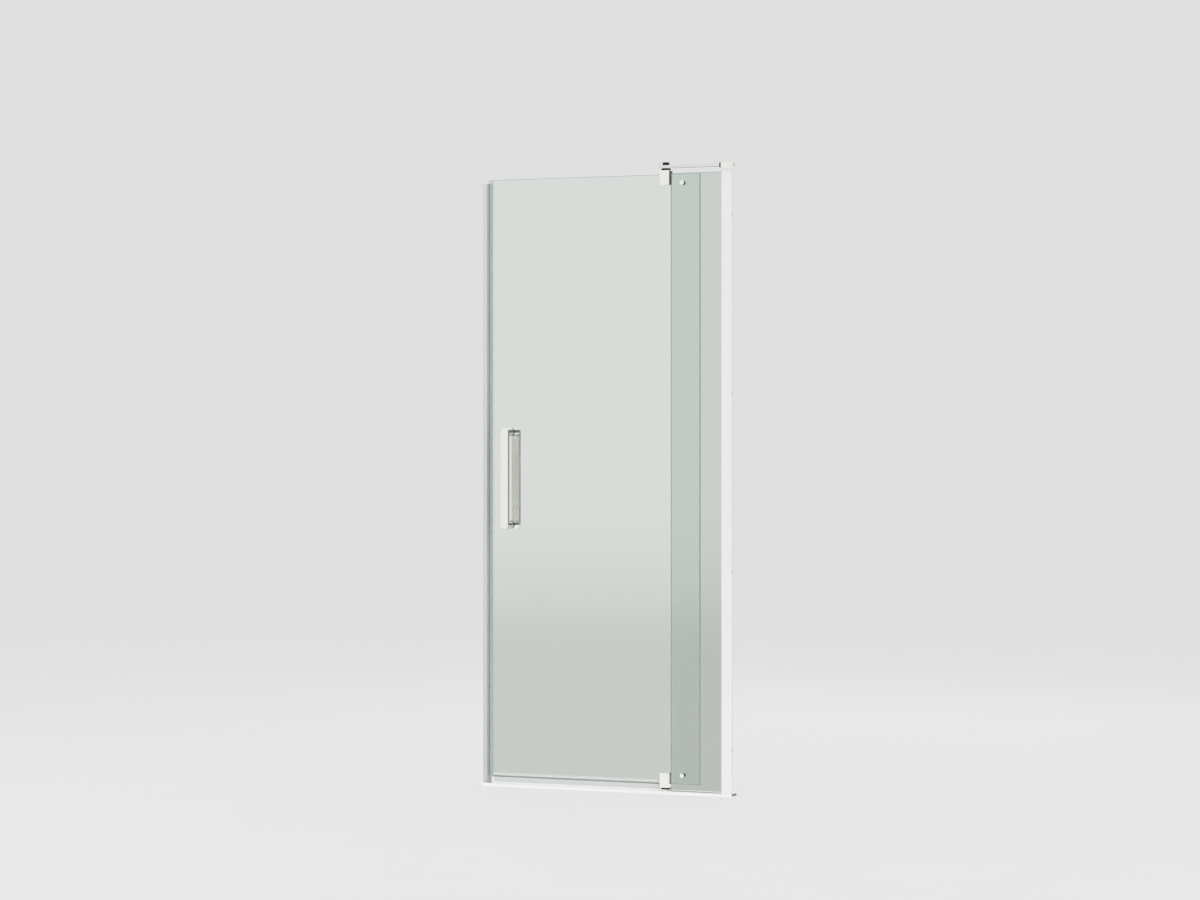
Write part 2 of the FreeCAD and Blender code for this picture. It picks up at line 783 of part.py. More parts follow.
def make_hinge_outer(prefix, z, turn):
    body = new_body(f"{prefix}_hinge_outer_body", pivot_x, 0, z, turn)
    near = half_glass + size.hinge_gasket
    hinge_plate_pad(body, near, away=True)
    web = sketch(body, "web", "XZ", near)
    wide, narrow, shoulder, foot = hinge_web(as_length(0), as_length(0))
    corner = size.hinge_corner
    outline(
        web,
        (-wide, -corner),
        (-wide, shoulder),
        (-narrow, shoulder),
        (-narrow, foot),
        (narrow, foot),
        (narrow, shoulder),
        (wide, shoulder),
        (wide, -corner),
        (wide - corner, 0),
        (corner - wide, 0),
    )
    pad(body, web, near * 2, backwards=True)
    toe = lambda edge: (
        runs_along(edge, "Y")
        and lies_at(edge, "Z", foot)
        and lies_at(edge, "X", -narrow, narrow)
    )
    dress(body, "Fillet", "web_corners", toe, size.notch_corner - size.web_clearance)
    bush_bore(body)
    holes = sketch(body, "screw_holes", "XZ", -near)
    for x, height in hinge_screw_places():
        circle(holes, x, height, size.hinge_screw_radius + size.slip)
    reach = size.hinge_screw_length - size.hinge_plate + size.running_gap
    pocket(body, holes, reach, along_normal=True)
    node(body, f"{prefix}_hinge_outer")


def make_hinge_inner(prefix, z, turn):
    body = new_body(f"{prefix}_hinge_inner_body", pivot_x, 0, z, turn)
    near = half_glass + size.hinge_gasket
    hinge_plate_pad(body, -near, away=False)
    bush_bore(body)
    holes = sketch(body, "screw_holes", "XZ", -near)
    for x, height in hinge_screw_places():
        circle(holes, x, height, size.hinge_screw_radius + size.slip)
    pocket(body, holes, size.hinge_plate)
    sinks = [
        screw_head(f"{prefix}_sink_{number}", x, height, z, turn, size.slip)
        for number, (x, height) in enumerate(hinge_screw_places())
    ]
    sunk = cut(f"{prefix}_hinge_inner_sunk", body, group(f"{prefix}_sinks", *sinks))
    node(sunk, f"{prefix}_hinge_inner")


def turned(x, height, z, turn):
    """A place on a hinge, in the door's frame."""
    if turn:
        return pivot_x - x, z - height
    return pivot_x + x, z + height


def screw_head(name, x, height, z, turn, gain):
    """A countersunk head on the hinge's inner face, grown by a clearance."""
    at_x, at_z = turned(x, height, z, turn)
    head = size.hinge_screw_head + gain
    shank = size.hinge_screw_radius + gain
    return cone(name, head, shank, size.hinge_screw_cone, at_x, half_hinge, at_z, "-Y")


def make_hinge_screws(prefix, z, turn):
    screws = []
    for number, (x, height) in enumerate(hinge_screw_places()):
        at_x, at_z = turned(x, height, z, turn)
        name = f"{prefix}_hinge_screw_{number}"
        head = screw_head(f"{name}_head", x, height, z, turn, as_length(0))
        length = size.hinge_screw_length
        shank = cylinder(f"{name}_shank", size.hinge_screw_radius, length, at_x, half_hinge, at_z, "-Y")
        screws.append(fuse(name, head, shank))
    node(group(f"{prefix}_hinge_screws_group", *screws), f"{prefix}_hinge_screws", 3)


def make_hinge_gaskets(prefix, z, turn):
    leaves = []
    wide, narrow, shoulder, foot = hinge_web(size.web_clearance, size.web_clearance)
    edge = size.running_gap
    for side, offset in (("outer", half_glass), ("inner", -(half_glass + size.hinge_gasket))):
        leaf = new_body(f"{prefix}_hinge_gasket_{side}", pivot_x, 0, z, turn)
        face = sketch(leaf, "face", "XZ", offset)
        outline(
            face,
            (-wide + edge, shoulder),
            (-narrow, shoulder),
            (-narrow, foot),
            (narrow, foot),
            (narrow, shoulder),
            (wide - edge, shoulder),
            (wide - edge, edge + size.hinge_corner - size.hinge_height),
            (wide - edge - size.hinge_corner, edge - size.hinge_height),
            (edge + size.hinge_corner - wide, edge - size.hinge_height),
            (edge - wide, edge + size.hinge_corner - size.hinge_height),
        )
        pad(leaf, face, size.hinge_gasket)
        leaves.append(leaf)
    node(group(f"{prefix}_hinge_gaskets_group", *leaves), f"{prefix}_hinge_gaskets", 2)


def make_hinge(prefix, z, turn, down):
    make_hinge_outer(prefix, z, turn)
    make_hinge_inner(prefix, z, turn)
    make_hinge_screws(prefix, z, turn)
    make_hinge_gaskets(prefix, z, turn)
    inside = size.pin_radius + size.slip
    bush = ring(f"{prefix}_bush", size.bush_radius, inside, size.bush_length, pivot_x, 0, z, down)
    node(bush, f"{prefix}_pivot_bush")


# Support bar and the upper pivot

def make_support_bar():
    body = new_body("support_bar_body", bar_left, 0, bar_z)
    section = sketch(body, "section", "YZ")
    rectangle(section, (-size.bar_depth / 2, size.bar_depth / 2), (0, size.bar_height))
    pad(body, section, bar_right - bar_left)
    hole = circle(sketch(body, "pin_hole", "XY"), pivot_x - bar_left, 0, size.pin_radius + size.slip)
    pocket(body, hole, size.bar_height, along_normal=True)
    long_edges = lambda edge: runs_along(edge, "X") or lies_at(edge, "X", as_length(0)) and not edge.Closed
    dress(body, "Chamfer", "edges", long_edges, size.bar_edge)
    node(body, "support_bar")


def make_bracket():
    body = new_body("bar_wall_bracket_body", bracket_left, 0, bar_z)
    section = sketch(body, "section", "YZ")
    outer_y = size.bar_depth / 2 + size.bracket_wall + size.bar_slide_gap
    rise = size.bracket_wall + size.bar_slide_gap
    rectangle(section, (-outer_y, outer_y), (-rise, size.bar_height + rise))
    pad(body, section, size.bracket_length)
    dress(body, "Fillet", "edges", lambda edge: runs_along(edge, "X"), size.bracket_edge)
    socket = sketch(body, "socket", "YZ")
    inner_y = size.bar_depth / 2 + size.bar_slide_gap
    rectangle(socket, (-inner_y, inner_y), (-size.bar_slide_gap, size.bar_height + size.bar_slide_gap))
    pocket(body, socket, size.bracket_length - size.bracket_back, along_normal=True)
    holes = sketch(body, "screw_holes", "YZ", size.bracket_length)
    for across in (-size.bracket_screw_spacing / 2, size.bracket_screw_spacing / 2):
        circle(holes, across, size.bar_height / 2, size.bracket_screw_radius)
    pocket(body, holes, size.bracket_back)
    grub_hole = sketch(body, "set_screw_hole", "XY", -rise)
    circle(grub_hole, size.bracket_length - size.set_screw_from_wall, 0, size.set_screw_radius + size.slip)
    pocket(body, grub_hole, rise, along_normal=True)
    node(body, "bar_wall_bracket")


def make_bar_fittings():
    inset = size.end_gasket_inset
    outer_y = size.bar_depth / 2 + size.bracket_wall + size.bar_slide_gap - inset
    rise = size.bracket_wall + size.bar_slide_gap - inset
    x = (bracket_left - size.end_gasket_length, bracket_left)
    hole_y = size.bar_depth / 2 + size.bar_slide_gap
    slide = size.bar_slide_gap
    outer_z = (bar_z - rise, bar_z + size.bar_height + rise)
    hole_z = (bar_z - slide, bar_z + size.bar_height + slide)
    outside = box("end_gasket_outside", x, (-outer_y, outer_y), outer_z)
    hole = box("end_gasket_hole", x, (-hole_y, hole_y), hole_z)
    node(cut("bar_end_gasket_ring", outside, hole), "bar_end_gasket")
    grub_x = half_opening - size.set_screw_from_wall
    grub = cylinder("bar_grub", size.set_screw_radius, size.bracket_wall, grub_x, 0, bar_z, "-Z")
    node(grub, "bar_set_screw")


def make_upper_pivot():
    pin_foot = upper_hinge_z - size.pin_engagement
    pin_length = size.overall_height + size.cap_thread_depth - pin_foot
    node(cylinder("top_pin", size.pin_radius, pin_length, pivot_x, 0, pin_foot), "top_pivot_pin")
    hole = size.pin_radius + size.slip
    washer_z = bar_z - size.thrust_washer
    washer = ring("top_washer", size.thrust_washer_radius, hole, size.thrust_washer, pivot_x, 0, washer_z)
    node(washer, "top_thrust_washer")
    cap = new_body("pivot_cap_nut_body", pivot_x, 0, size.overall_height)
    pad(cap, circle(sketch(cap, "outside", "XY"), 0, 0, size.cap_radius), size.cap_height)
    dress(cap, "Fillet", "edge", lambda edge: lies_at(edge, "Z", size.cap_height), size.cap_edge)
    thread = circle(sketch(cap, "thread", "XY"), 0, 0, hole)
    pocket(cap, thread, size.cap_thread_depth + size.running_gap, along_normal=True)
    node(cap, "pivot_cap_nut")


# Lower pivot

def make_lower_pivot():
    hole = size.pin_radius + size.slip
    base_radius = size.thrust_washer_radius
    base = ring("pivot_base", base_radius, hole, size.pivot_base_height, pivot_x, 0, deck_z)
    node(base, "bottom_pivot_base")
    washer_z = deck_z + size.pivot_base_height
    washer = ring("bottom_washer", base_radius, hole, size.thrust_washer, pivot_x, 0, washer_z)
    node(washer, "bottom_thrust_washer")
    nut_top = deck_z - size.sill_wall
    nut_foot = nut_top - size.pivot_nut_height
    half_length = size.pivot_nut_length / 2
    half_width = size.pivot_nut_width / 2
    blank = box(
        "pivot_nut_blank",
        (pivot_x - half_length, pivot_x + half_length),
        (-half_width, half_width),
        (nut_foot, nut_top),
    )
    thread = cylinder("pivot_nut_thread", hole, size.pivot_nut_height, pivot_x, 0, nut_foot)
    node(cut("pivot_nut", blank, thread), "pivot_base_nut")
    pin_length = lower_hinge_z + size.pin_engagement - nut_foot
    node(cylinder("bottom_pin", size.pin_radius, pin_length, pivot_x, 0, nut_foot), "bottom_pivot_pin")


# Closing stops in the overlap of the two panes

def make_bumpers():
    caps, washers, stops = [], [], []
    cap_y = panel_front - size.bumper_washer
    stem_length = size.bumper_washer + size.glass_thickness + size.bumper_stem_engagement
    stop_depth = size.pane_gap - size.running_gap
    bore_depth = size.bumper_stem_engagement + size.running_gap
    bore = size.bumper_stem_radius + size.slip
    for number, height in enumerate(bumper_heights):
        disc = new_body(f"bumper_disc_{number}", bumper_x, cap_y, height)
        face = circle(sketch(disc, "face", "XZ"), 0, 0, size.bumper_cap_radius)
        pad(disc, face, size.bumper_cap_height)
        show_face = lambda edge: lies_at(edge, "Y", -size.bumper_cap_height)
        dress(disc, "Fillet", "edge", show_face, size.bumper_cap_edge)
        from_cap = (bumper_x, cap_y, height, "+Y")
        stem = cylinder(f"bumper_stem_{number}", size.bumper_stem_radius, stem_length, *from_cap)
        caps.append(fuse(f"bumper_cap_{number}", disc, stem))
        outside = size.bumper_washer_radius
        washers.append(ring(f"bumper_washer_{number}", outside, bore, size.bumper_washer, *from_cap))
        from_panel = (bumper_x, panel_back, height, "+Y")
        soft = cylinder(f"stop_{number}", size.bumper_radius, stop_depth, *from_panel)
        seat = cylinder(f"stop_bore_{number}", bore, bore_depth, *from_panel)
        stops.append(cut(f"door_bumper_{number}", soft, seat))
    node(group("bumper_caps_group", *caps), "bumper_caps", 2)
    node(group("bumper_washers_group", *washers), "bumper_washers", 2)
    node(group("door_bumpers_group", *stops), "door_bumpers", 2)


# Back-to-back pull handle

def make_handle_bar(side, direction):
    outward = direction == "-Y"
    back = -post_end if outward else post_end
    body = new_body(f"handle_{side}_bar_body", handle_x, back, size.handle_centre_height)
    face = stadium(sketch(body, "face", "XZ"), size.handle_width, size.handle_length)
    pad(body, face, size.handle_thickness, backwards=not outward)
    show_y = -size.handle_thickness if outward else size.handle_thickness
    both_faces = lambda edge: lies_at(edge, "Y", show_y, as_length(0))
    dress(body, "Fillet", "edges", both_faces, size.handle_edge)
    sockets = sketch(body, "sockets", "XZ")
    for height in (-handle_reach, handle_reach):
        circle(sockets, 0, height, size.spigot_radius + size.slip)
    pocket(body, sockets, size.socket_depth, along_normal=outward)
    node(body, f"handle_{side}_bar")


def make_handle_posts(side, direction):
    start = -post_start if direction == "-Y" else post_start
    length = size.handle_standoff - size.handle_washer
    grub_y = start + size.grub_from_glass - size.handle_washer
    grub_length = size.handle_width / 2 - size.grub_inset - size.stud_radius - size.slip
    posts, grubs = [], []
    for number, height in enumerate(post_heights):
        name = f"{side}_post_{number}"
        from_washer = (handle_x, start, height, direction)
        shaft = cylinder(f"{name}_shaft", size.handle_width / 2, length, *from_washer)
        spigot = cylinder(f"{name}_spigot", size.spigot_radius, length + size.spigot_length, *from_washer)
        bore = cylinder(f"{name}_bore", size.stud_radius + size.slip, size.stud_bore_depth, *from_washer)
        post = cut(name, fuse(f"{name}_turned", shaft, spigot), bore)
        if side == "inner":
            grub_top = height - size.stud_radius - size.slip
            hole_radius = size.grub_radius + size.slip
            hole_reach = size.handle_width / 2
            hole = cylinder(f"{name}_grub_hole", hole_radius, hole_reach, handle_x, grub_y, height, "-Z")
            post = cut(f"{name}_tapped", post, hole)
            grub_place = (handle_x, grub_y, grub_top, "-Z")
            grubs.append(cylinder(f"{name}_grub", size.grub_radius, grub_length, *grub_place))
        posts.append(post)
    node(group(f"handle_{side}_posts_group", *posts), f"handle_{side}_posts", 2)
    if grubs:
        node(group("handle_set_screws_group", *grubs), "handle_set_screws", 2)


def make_handle_fixings():
    studs, sleeves = [], []
    stud_end = post_start + size.stud_engagement
    bore = size.stud_radius + size.slip
    sleeve_radius = size.glass_hole_radius - size.sleeve_gap
    for number, height in enumerate(post_heights):
        from_stud_end = (handle_x, -stud_end, height, "+Y")
        studs.append(cylinder(f"stud_{number}", size.stud_radius, stud_end * 2, *from_stud_end))
        from_face = (handle_x, -half_glass, height, "+Y")
        sleeves.append(ring(f"sleeve_{number}", sleeve_radius, bore, size.glass_thickness, *from_face))
    node(group("handle_studs_group", *studs), "handle_studs", 2)
    node(group("handle_sleeves_group", *sleeves), "handle_sleeves", 2)
    outside = size.handle_width / 2
    for side, start in (("outer", -post_start), ("inner", half_glass)):
        rings = [
            ring(f"{side}_washer_{number}", outside, bore, size.handle_washer, handle_x, start, height, "+Y")
            for number, height in enumerate(post_heights)
        ]
        node(group(f"handle_{side}_washers_group", *rings), f"handle_{side}_washers", 2)


# Assembly

make_sill()
make_infill()
make_fixed_panel()
make_panel_seating()
make_wall_jamb()
make_strike_jamb()
make_strike_cover()
make_strike_stop()
make_support_bar()
make_bracket()
make_bar_fittings()
make_upper_pivot()
make_lower_pivot()
make_bumpers()
make_door_glass()
make_edge_seal()
make_sweep()
make_hinge("top", upper_hinge_z, None, "-Z")
make_hinge("bottom", lower_hinge_z, UPSIDE_DOWN, "+Z")
for handle_side, outwards in (("outer", "-Y"), ("inner", "+Y")):
    make_handle_bar(handle_side, outwards)
    make_handle_posts(handle_side, outwards)
make_handle_fixings()

doc.recompute()

for thing in doc.Objects:
    if "Invalid" in thing.State or "Error" in thing.State:
        raise RuntimeError(f"{thing.Label} failed: {thing.State}")
for feature in cuts:
    if feature.BaseFeature.Shape.Volume - feature.Shape.Volume < TOUCH:
        raise RuntimeError(f"{feature.Label} cuts nothing")
for thing, label, solids in nodes:
    if thing.Shape.isNull() or not thing.Shape.isValid():
        raise RuntimeError(f"{label} has no valid shape")
    if len(thing.Shape.Solids) != solids:
        raise RuntimeError(f"{label} has {len(thing.Shape.Solids)} solids instead of {solids}")

os.makedirs("parts", exist_ok=True)
for thing, label, solids in nodes:
    thing.Shape.exportStep(f"parts/{label}.step")
    print(f"{label}: {solids} solid(s), {thing.Shape.Volume / 1000:.2f} cm3")
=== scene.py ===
import json
import math

import bmesh
import bpy
from mathutils import Matrix, Vector

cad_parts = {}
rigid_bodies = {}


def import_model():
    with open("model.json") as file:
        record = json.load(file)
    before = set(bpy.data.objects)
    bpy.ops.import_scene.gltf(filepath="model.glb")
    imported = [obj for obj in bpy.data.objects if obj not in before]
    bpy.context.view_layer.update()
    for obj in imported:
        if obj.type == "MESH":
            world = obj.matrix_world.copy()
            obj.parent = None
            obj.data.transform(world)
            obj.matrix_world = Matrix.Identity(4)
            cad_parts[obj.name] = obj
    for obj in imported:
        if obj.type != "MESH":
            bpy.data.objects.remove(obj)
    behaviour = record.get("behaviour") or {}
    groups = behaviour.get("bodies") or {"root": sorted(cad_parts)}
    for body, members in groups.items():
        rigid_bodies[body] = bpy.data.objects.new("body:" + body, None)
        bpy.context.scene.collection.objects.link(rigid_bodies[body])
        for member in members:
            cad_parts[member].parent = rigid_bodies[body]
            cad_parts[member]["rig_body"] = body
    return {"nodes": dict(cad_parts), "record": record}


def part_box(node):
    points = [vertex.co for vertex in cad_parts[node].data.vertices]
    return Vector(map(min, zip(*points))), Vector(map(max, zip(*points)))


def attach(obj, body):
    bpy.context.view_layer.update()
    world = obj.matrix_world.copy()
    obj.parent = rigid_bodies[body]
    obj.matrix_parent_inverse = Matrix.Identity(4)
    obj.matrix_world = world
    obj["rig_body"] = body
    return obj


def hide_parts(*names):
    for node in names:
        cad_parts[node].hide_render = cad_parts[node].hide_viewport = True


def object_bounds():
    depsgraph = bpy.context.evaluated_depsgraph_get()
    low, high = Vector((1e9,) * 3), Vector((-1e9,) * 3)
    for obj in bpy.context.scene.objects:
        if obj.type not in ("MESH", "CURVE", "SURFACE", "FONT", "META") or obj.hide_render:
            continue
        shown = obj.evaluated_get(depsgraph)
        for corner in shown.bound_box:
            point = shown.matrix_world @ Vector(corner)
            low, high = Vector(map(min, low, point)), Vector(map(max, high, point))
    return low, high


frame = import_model()
cad_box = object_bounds()
nodes = frame["nodes"]
slots = {part["node"]: part["material_slot"] for part in frame["record"]["subparts"]}
scene = bpy.context.scene
scene.view_settings.view_transform = "Standard"

# Lengths are in metres
MM = 0.001

# Photograph's view: lens, place and turn found from the door's own corners
IMAGE_WIDTH = 1200
FOCAL_PX = 3000
SENSOR = 36
CAMERA_PLACE = (3.1087, -7.9715, 1.0178)
CAMERA_TURN = math.radians(21.446)
HORIZON_OFFSET_PX = 15.99
CLIP = (0.1, 200)

# Studio levels, as linear light. Behind glass the view sinks, low down, to a level of painted shade
# between two heights of the ray's direction.
AMBIENT = (0.74, 0.74, 0.74)
BACKDROP = (0.742, 0.742, 0.749)
BEHIND_GLASS = (0.735, 0.735, 0.735)
BEHIND_GLASS_PAINTED_SHADE = (0.555, 0.555, 0.550)
PAINTED_SHADE_VIEW = (-0.105, -0.020)

# What metal reflects: pale light with dark sides, each a direction and two cosines for its soft edge
REFLECTED = (0.90, 0.90, 0.895)
REFLECTED_DARK = (0.10, 0.105, 0.105)
DARK_SIDES = (
    ((0.366, 0.930, 0.0), 0.900, 0.975),
    ((-0.93, 0.30, 0.05), 0.955, 0.99),
)

# Floor, with the shares in which even light takes the place of shaded light
FLOOR_RADIUS = 14.0
FLOOR_SEGMENTS = 96
FLOOR_BELOW = 0.2 * MM
FLOOR_FADE = (2.0, 12.0)
FLOOR_GRAIN = (0.99, 1.01)
FLOOR_CLOUDS = 3.0
FLOOR_COLOUR = (0.825, 0.825, 0.83)
FLOOR_MIRRORED = (0.955, 0.955, 0.945)
FLOOR_EVEN = 0.62
FLOOR_EVEN_UNSEEN = 0.85

# Soft lamps: name, place, width, height and power, all aimed at the door's middle
AIM = (0, 0, 0.9)
LAMPS = (
    ("key", (-2.6, -3.4, 3.2), 2.6, 2.6, 45),
    ("fill", (3.4, -2.6, 2.0), 2.4, 2.4, 18),
    ("back", (0.5, 3.2, 3.0), 3.0, 2.0, 24),
)

# Metal: the stretches give its fine lines their direction, and shares vary a finish's own values.
# END_FACE is where, in X, the faces at the two ends begin.
NOISE_SPREAD = (0.3, 0.7)
END_FACE = cad_box[1].x - 0.5 * MM
END_FACE_ROUGHNESS = 0.6
END_FACE_METALLIC = 0.2
DRAWN = (0.02, 1, 0.02)
BUFFED = (1, 1, 0.05)
BAR_BUFFED = (0.05, 1, 1)
UNDRAWN = (1, 1, 1)
FITTING = (0.92, 0.905, 0.885)
METAL_CLOUDS = 14
METAL_LINES = 900
METAL_ROUGHNESS = (0.8, 1.25)
METAL_DULLEST = 0.985
METAL_BUMP = (0.05, 0.2 * MM)

# Plastic and rubber
MOULD_CLOUDS = 40
MOULD_GRAIN = 1600
MOULD_TONES = (0.9, 1.08)
MOULD_ROUGHNESS = (0.9, 1.1)
MOULD_DEPTH = 0.3 * MM

# Glass and clear vinyl. GLASS_FACING is how squarely the glass faces along Y where its edge ends
# and where its clear face begins.
GLASS_FACING = (0.60, 0.95)
GLASS_EDGE = (0.17, 0.215, 0.195)
GLASS_EDGE_ROUGHNESS = 0.10
GLASS_EDGE_CLARITY = 0.25
GLASS_WAVES = 2.2
GLASS_STRETCH = (1, 1, 0.35)
GLASS_BUMP = (0.02, 2 * MM)
GLASS_SHADE = (0.92, 0.945, 0.925)
VINYL = (0.95, 0.965, 0.955)
# Painted shade: a darker band on the clear seals, at the edge seal's tip and where the sweep meets the
# pane's foot.
VINYL_PAINTED_SHADE = (0.50, 0.53, 0.515)
VINYL_SHADE = (0.94, 0.95, 0.945)
VINYL_STREAKS = 120
VINYL_STRETCH = (1, 1, 0.05)
VINYL_ROUGHNESS = (0.03, 0.07)
VINYL_BUMP = (0.01, 0.2 * MM)
# Where the bands of painted shade lie: past the edge seal's tip, and about the pane's foot.
SEAL_TIP_PAINTED_SHADE = 1.2 * MM
SWEEP_PAINTED_SHADE = (-2.2 * MM, 1.8 * MM)

# Meshes
WELD = 1e-6
SMOOTH_UNDER = math.radians(35)
ARC_STEPS = 6
TURN_STEPS = 48
WAYS = {"Z": (0, 0, 1), "-Z": (0, 0, -1), "Y": (0, 1, 0)}

# Clear seals
SEAL_WALL = 1.2 * MM
SEAL_AIR = 0.04 * MM
SEAL_CORNER = 0.5 * MM
SEAL_LIP = 0.5 * MM
LIP_TIP = 0.2 * MM
LIP_ROOT = 0.3 * MM
BULB_RADIUS = 2.5 * MM
BULB_WALL = 0.9 * MM
BULB_NECK = 0.6 * MM
BULB_SHOULDER = 0.9 * MM
BULB_ROUND = 0.98
BULB_INNER_NECK = 0.7
SWEEP_LEAN = 2.0 * MM
SWEEP_STEPS = 10
FIN_ROOT = 0.75 * MM
FIN_TIP = 0.4 * MM
DRIP_DROP = 3.6 * MM
DRIP_INSET = 0.3 * MM
DRIP_END = 1.0 * MM
DRIP_ROOT = 1.4 * MM
DRIP_ROUND = 0.25 * MM
STRIP_WALL = 1.0 * MM
STRIP_FRONT_ROUND = 1.2 * MM
STRIP_INNER_ROUND = 0.6 * MM
STRIP_NOSE = 0.45
BEAD_PROUD = 0.5 * MM
BEAD_ROUND = 0.45

# Screws, stops and washers
HEXAGON = 6
SOCKET_LEAD = 1.12
POINT = 0.5 * MM
SCREW_SHANK = 2.0 * MM
SCREW_CONE = 2.0 * MM
SCREW_SOCKET = 0.5
SCREW_SOCKET_DEPTH = 1.2 * MM
SCREW_DRILL_POINT = 0.25 * MM
SCREW_BEVEL = 0.15 * MM
SCREW_TIP = 0.7
GRUB_SOCKET = 0.52
GRUB_SOCKET_DEPTH = 0.40
GRUB_DRILL_DEPTH = 0.45
GRUB_SOCKET_BEVEL = 0.1 * MM
GRUB_BEVEL = 0.3 * MM
GRUB_TIP = 0.6
STEM_BORE = 3.05 * MM
STEM_BORE_DEPTH = 4.3 * MM
STOP_EDGE = 0.4 * MM
STOP_GROOVE = (2.2 * MM, 2.6 * MM, 3.2 * MM, 3.6 * MM)
STOP_GROOVE_DEPTH = 0.5 * MM
STOP_ROUND = 1.4 * MM
STOP_ROUND_STEPS = 5
PIN_BORE = 4.05 * MM
WASHER_AIR = 0.04 * MM
WASHER_RIM = 0.6 * MM
WASHER_RIM_CUT = 0.3
WASHER_GROOVE = 0.35 * MM
WASHER_STEPS = 64


def make_camera():
    data = bpy.data.cameras.new("camera")
    data.sensor_width = SENSOR
    data.lens = FOCAL_PX * SENSOR / IMAGE_WIDTH
    data.shift_y = -HORIZON_OFFSET_PX / IMAGE_WIDTH
    data.clip_start, data.clip_end = CLIP
    camera = bpy.data.objects.new("camera", data)
    camera.location = CAMERA_PLACE
    camera.rotation_euler = (math.pi / 2, 0, CAMERA_TURN)
    scene.collection.objects.link(camera)
    scene.camera = camera


# Node helpers

def new_material(name):
    material = bpy.data.materials.new(name)
    material.use_nodes = True
    tree = material.node_tree
    tree.nodes.clear()
    output = tree.nodes.new("ShaderNodeOutputMaterial")
    return material, tree, output


def add(tree, kind, **settings):
    made = tree.nodes.new(kind)
    for key, value in settings.items():
        setattr(made, key, value)
    return made


def feed(tree, value, socket):
    """Join a socket or set a number or colour on an input."""
    if isinstance(value, bpy.types.NodeSocket):
        tree.links.new(value, socket)
    elif isinstance(value, tuple) and socket.type == "RGBA":
        socket.default_value = (*value, 1)
    else:
        socket.default_value = value


def math_node(tree, operation, a, b=None):
    made = add(tree, "ShaderNodeMath", operation=operation)
    feed(tree, a, made.inputs[0])
    if b is not None:
        feed(tree, b, made.inputs[1])
    return made.outputs[0]


def map_range(tree, value, low, high, to_low, to_high, smooth=False):
    made = add(tree, "ShaderNodeMapRange")
    made.interpolation_type = "SMOOTHSTEP" if smooth else "LINEAR"
    for socket, number in zip(made.inputs, (value, low, high, to_low, to_high)):
        feed(tree, number, socket)
    return made.outputs[0]


def mix_colour(tree, factor, first, second):
    """Mix two colours. A Mix node's colours are its inputs 6 and 7 and its output 2."""
    made = add(tree, "ShaderNodeMix", data_type="RGBA")
    feed(tree, factor, made.inputs[0])
    feed(tree, first, made.inputs[6])
    feed(tree, second, made.inputs[7])
    return made.outputs[2]


def mix_shader(tree, factor, first, second):
    made = add(tree, "ShaderNodeMixShader")
    feed(tree, factor, made.inputs[0])
    tree.links.new(first, made.inputs[1])
    tree.links.new(second, made.inputs[2])
    return made.outputs[0]


def spread(tree, cloud, low, high):
    """Noise drawn out between two values."""
    return map_range(tree, cloud, *NOISE_SPREAD, low, high)


def toned(colour, share):
    """A colour made darker or paler by a share."""
    return tuple(level * share for level in colour)


def coordinate(tree, kind, axis):
    """One axis of a texture coordinate: Object is a place, Normal and Generated here are directions."""
    split = add(tree, "ShaderNodeSeparateXYZ")
    tree.links.new(add(tree, "ShaderNodeTexCoord").outputs[kind], split.inputs[0])
    return split.outputs[axis]


def object_place(tree, scale=(1, 1, 1)):
    """The object's own coordinates, stretched."""
    where = add(tree, "ShaderNodeTexCoord").outputs["Object"]
    stretch = add(tree, "ShaderNodeVectorMath", operation="MULTIPLY")
    tree.links.new(where, stretch.inputs[0])
    stretch.inputs[1].default_value = scale
    return stretch.outputs[0]


def noise(tree, place, scale, detail=3):
    made = add(tree, "ShaderNodeTexNoise")
    tree.links.new(place, made.inputs["Vector"])
    made.inputs["Scale"].default_value = scale
    made.inputs["Detail"].default_value = detail
    return made.outputs[0]


def bump(tree, height, strength, distance):
    made = add(tree, "ShaderNodeBump")
    made.inputs["Strength"].default_value = strength
    made.inputs["Distance"].default_value = distance
    tree.links.new(height, made.inputs["Height"])
    return made.outputs[0]


def principled(tree, **values):
    shader = add(tree, "ShaderNodeBsdfPrincipled")
    for key, value in values.items():
        feed(tree, value, shader.inputs[key.replace("_", " ")])
    return shader.outputs[0]


# Studio

def make_world():
    """A pale backdrop, straight or through glass, darkened low down behind glass by painted shade, and
    pale light with darker sides in reflections.
    """
    world = bpy.data.worlds.new("studio")
    scene.world = world
    world.use_nodes = True
    tree = world.node_tree
    tree.nodes.clear()
    direction = add(tree, "ShaderNodeTexCoord").outputs["Generated"]
    darkness = 0.0
    for side, start, end in DARK_SIDES:
        dot = add(tree, "ShaderNodeVectorMath", operation="DOT_PRODUCT")
        tree.links.new(direction, dot.inputs[0])
        dot.inputs[1].default_value = Vector(side).normalized()
        inside = map_range(tree, dot.outputs["Value"], start, end, 0.0, 1.0, smooth=True)
        darkness = math_node(tree, "MAXIMUM", darkness, inside)
    reflected = mix_colour(tree, darkness, REFLECTED, REFLECTED_DARK)
    path = add(tree, "ShaderNodeLightPath").outputs
    mirrored = math_node(tree, "GREATER_THAN", path["Glossy Depth"], 0.5)
    # Painted shade: behind glass, low directions sink to the painted shade level.
    height = map_range(tree, coordinate(tree, "Generated", "Z"), *PAINTED_SHADE_VIEW, 0.0, 1.0, smooth=True)
    through = mix_colour(tree, height, BEHIND_GLASS_PAINTED_SHADE, BEHIND_GLASS)
    colour = mix_colour(tree, path["Is Camera Ray"], AMBIENT, BACKDROP)
    colour = mix_colour(tree, path["Is Transmission Ray"], colour, through)
    background = add(tree, "ShaderNodeBackground")
    feed(tree, mix_colour(tree, mirrored, colour, reflected), background.inputs["Color"])
    output = add(tree, "ShaderNodeOutputWorld")
    tree.links.new(background.outputs[0], output.inputs["Surface"])


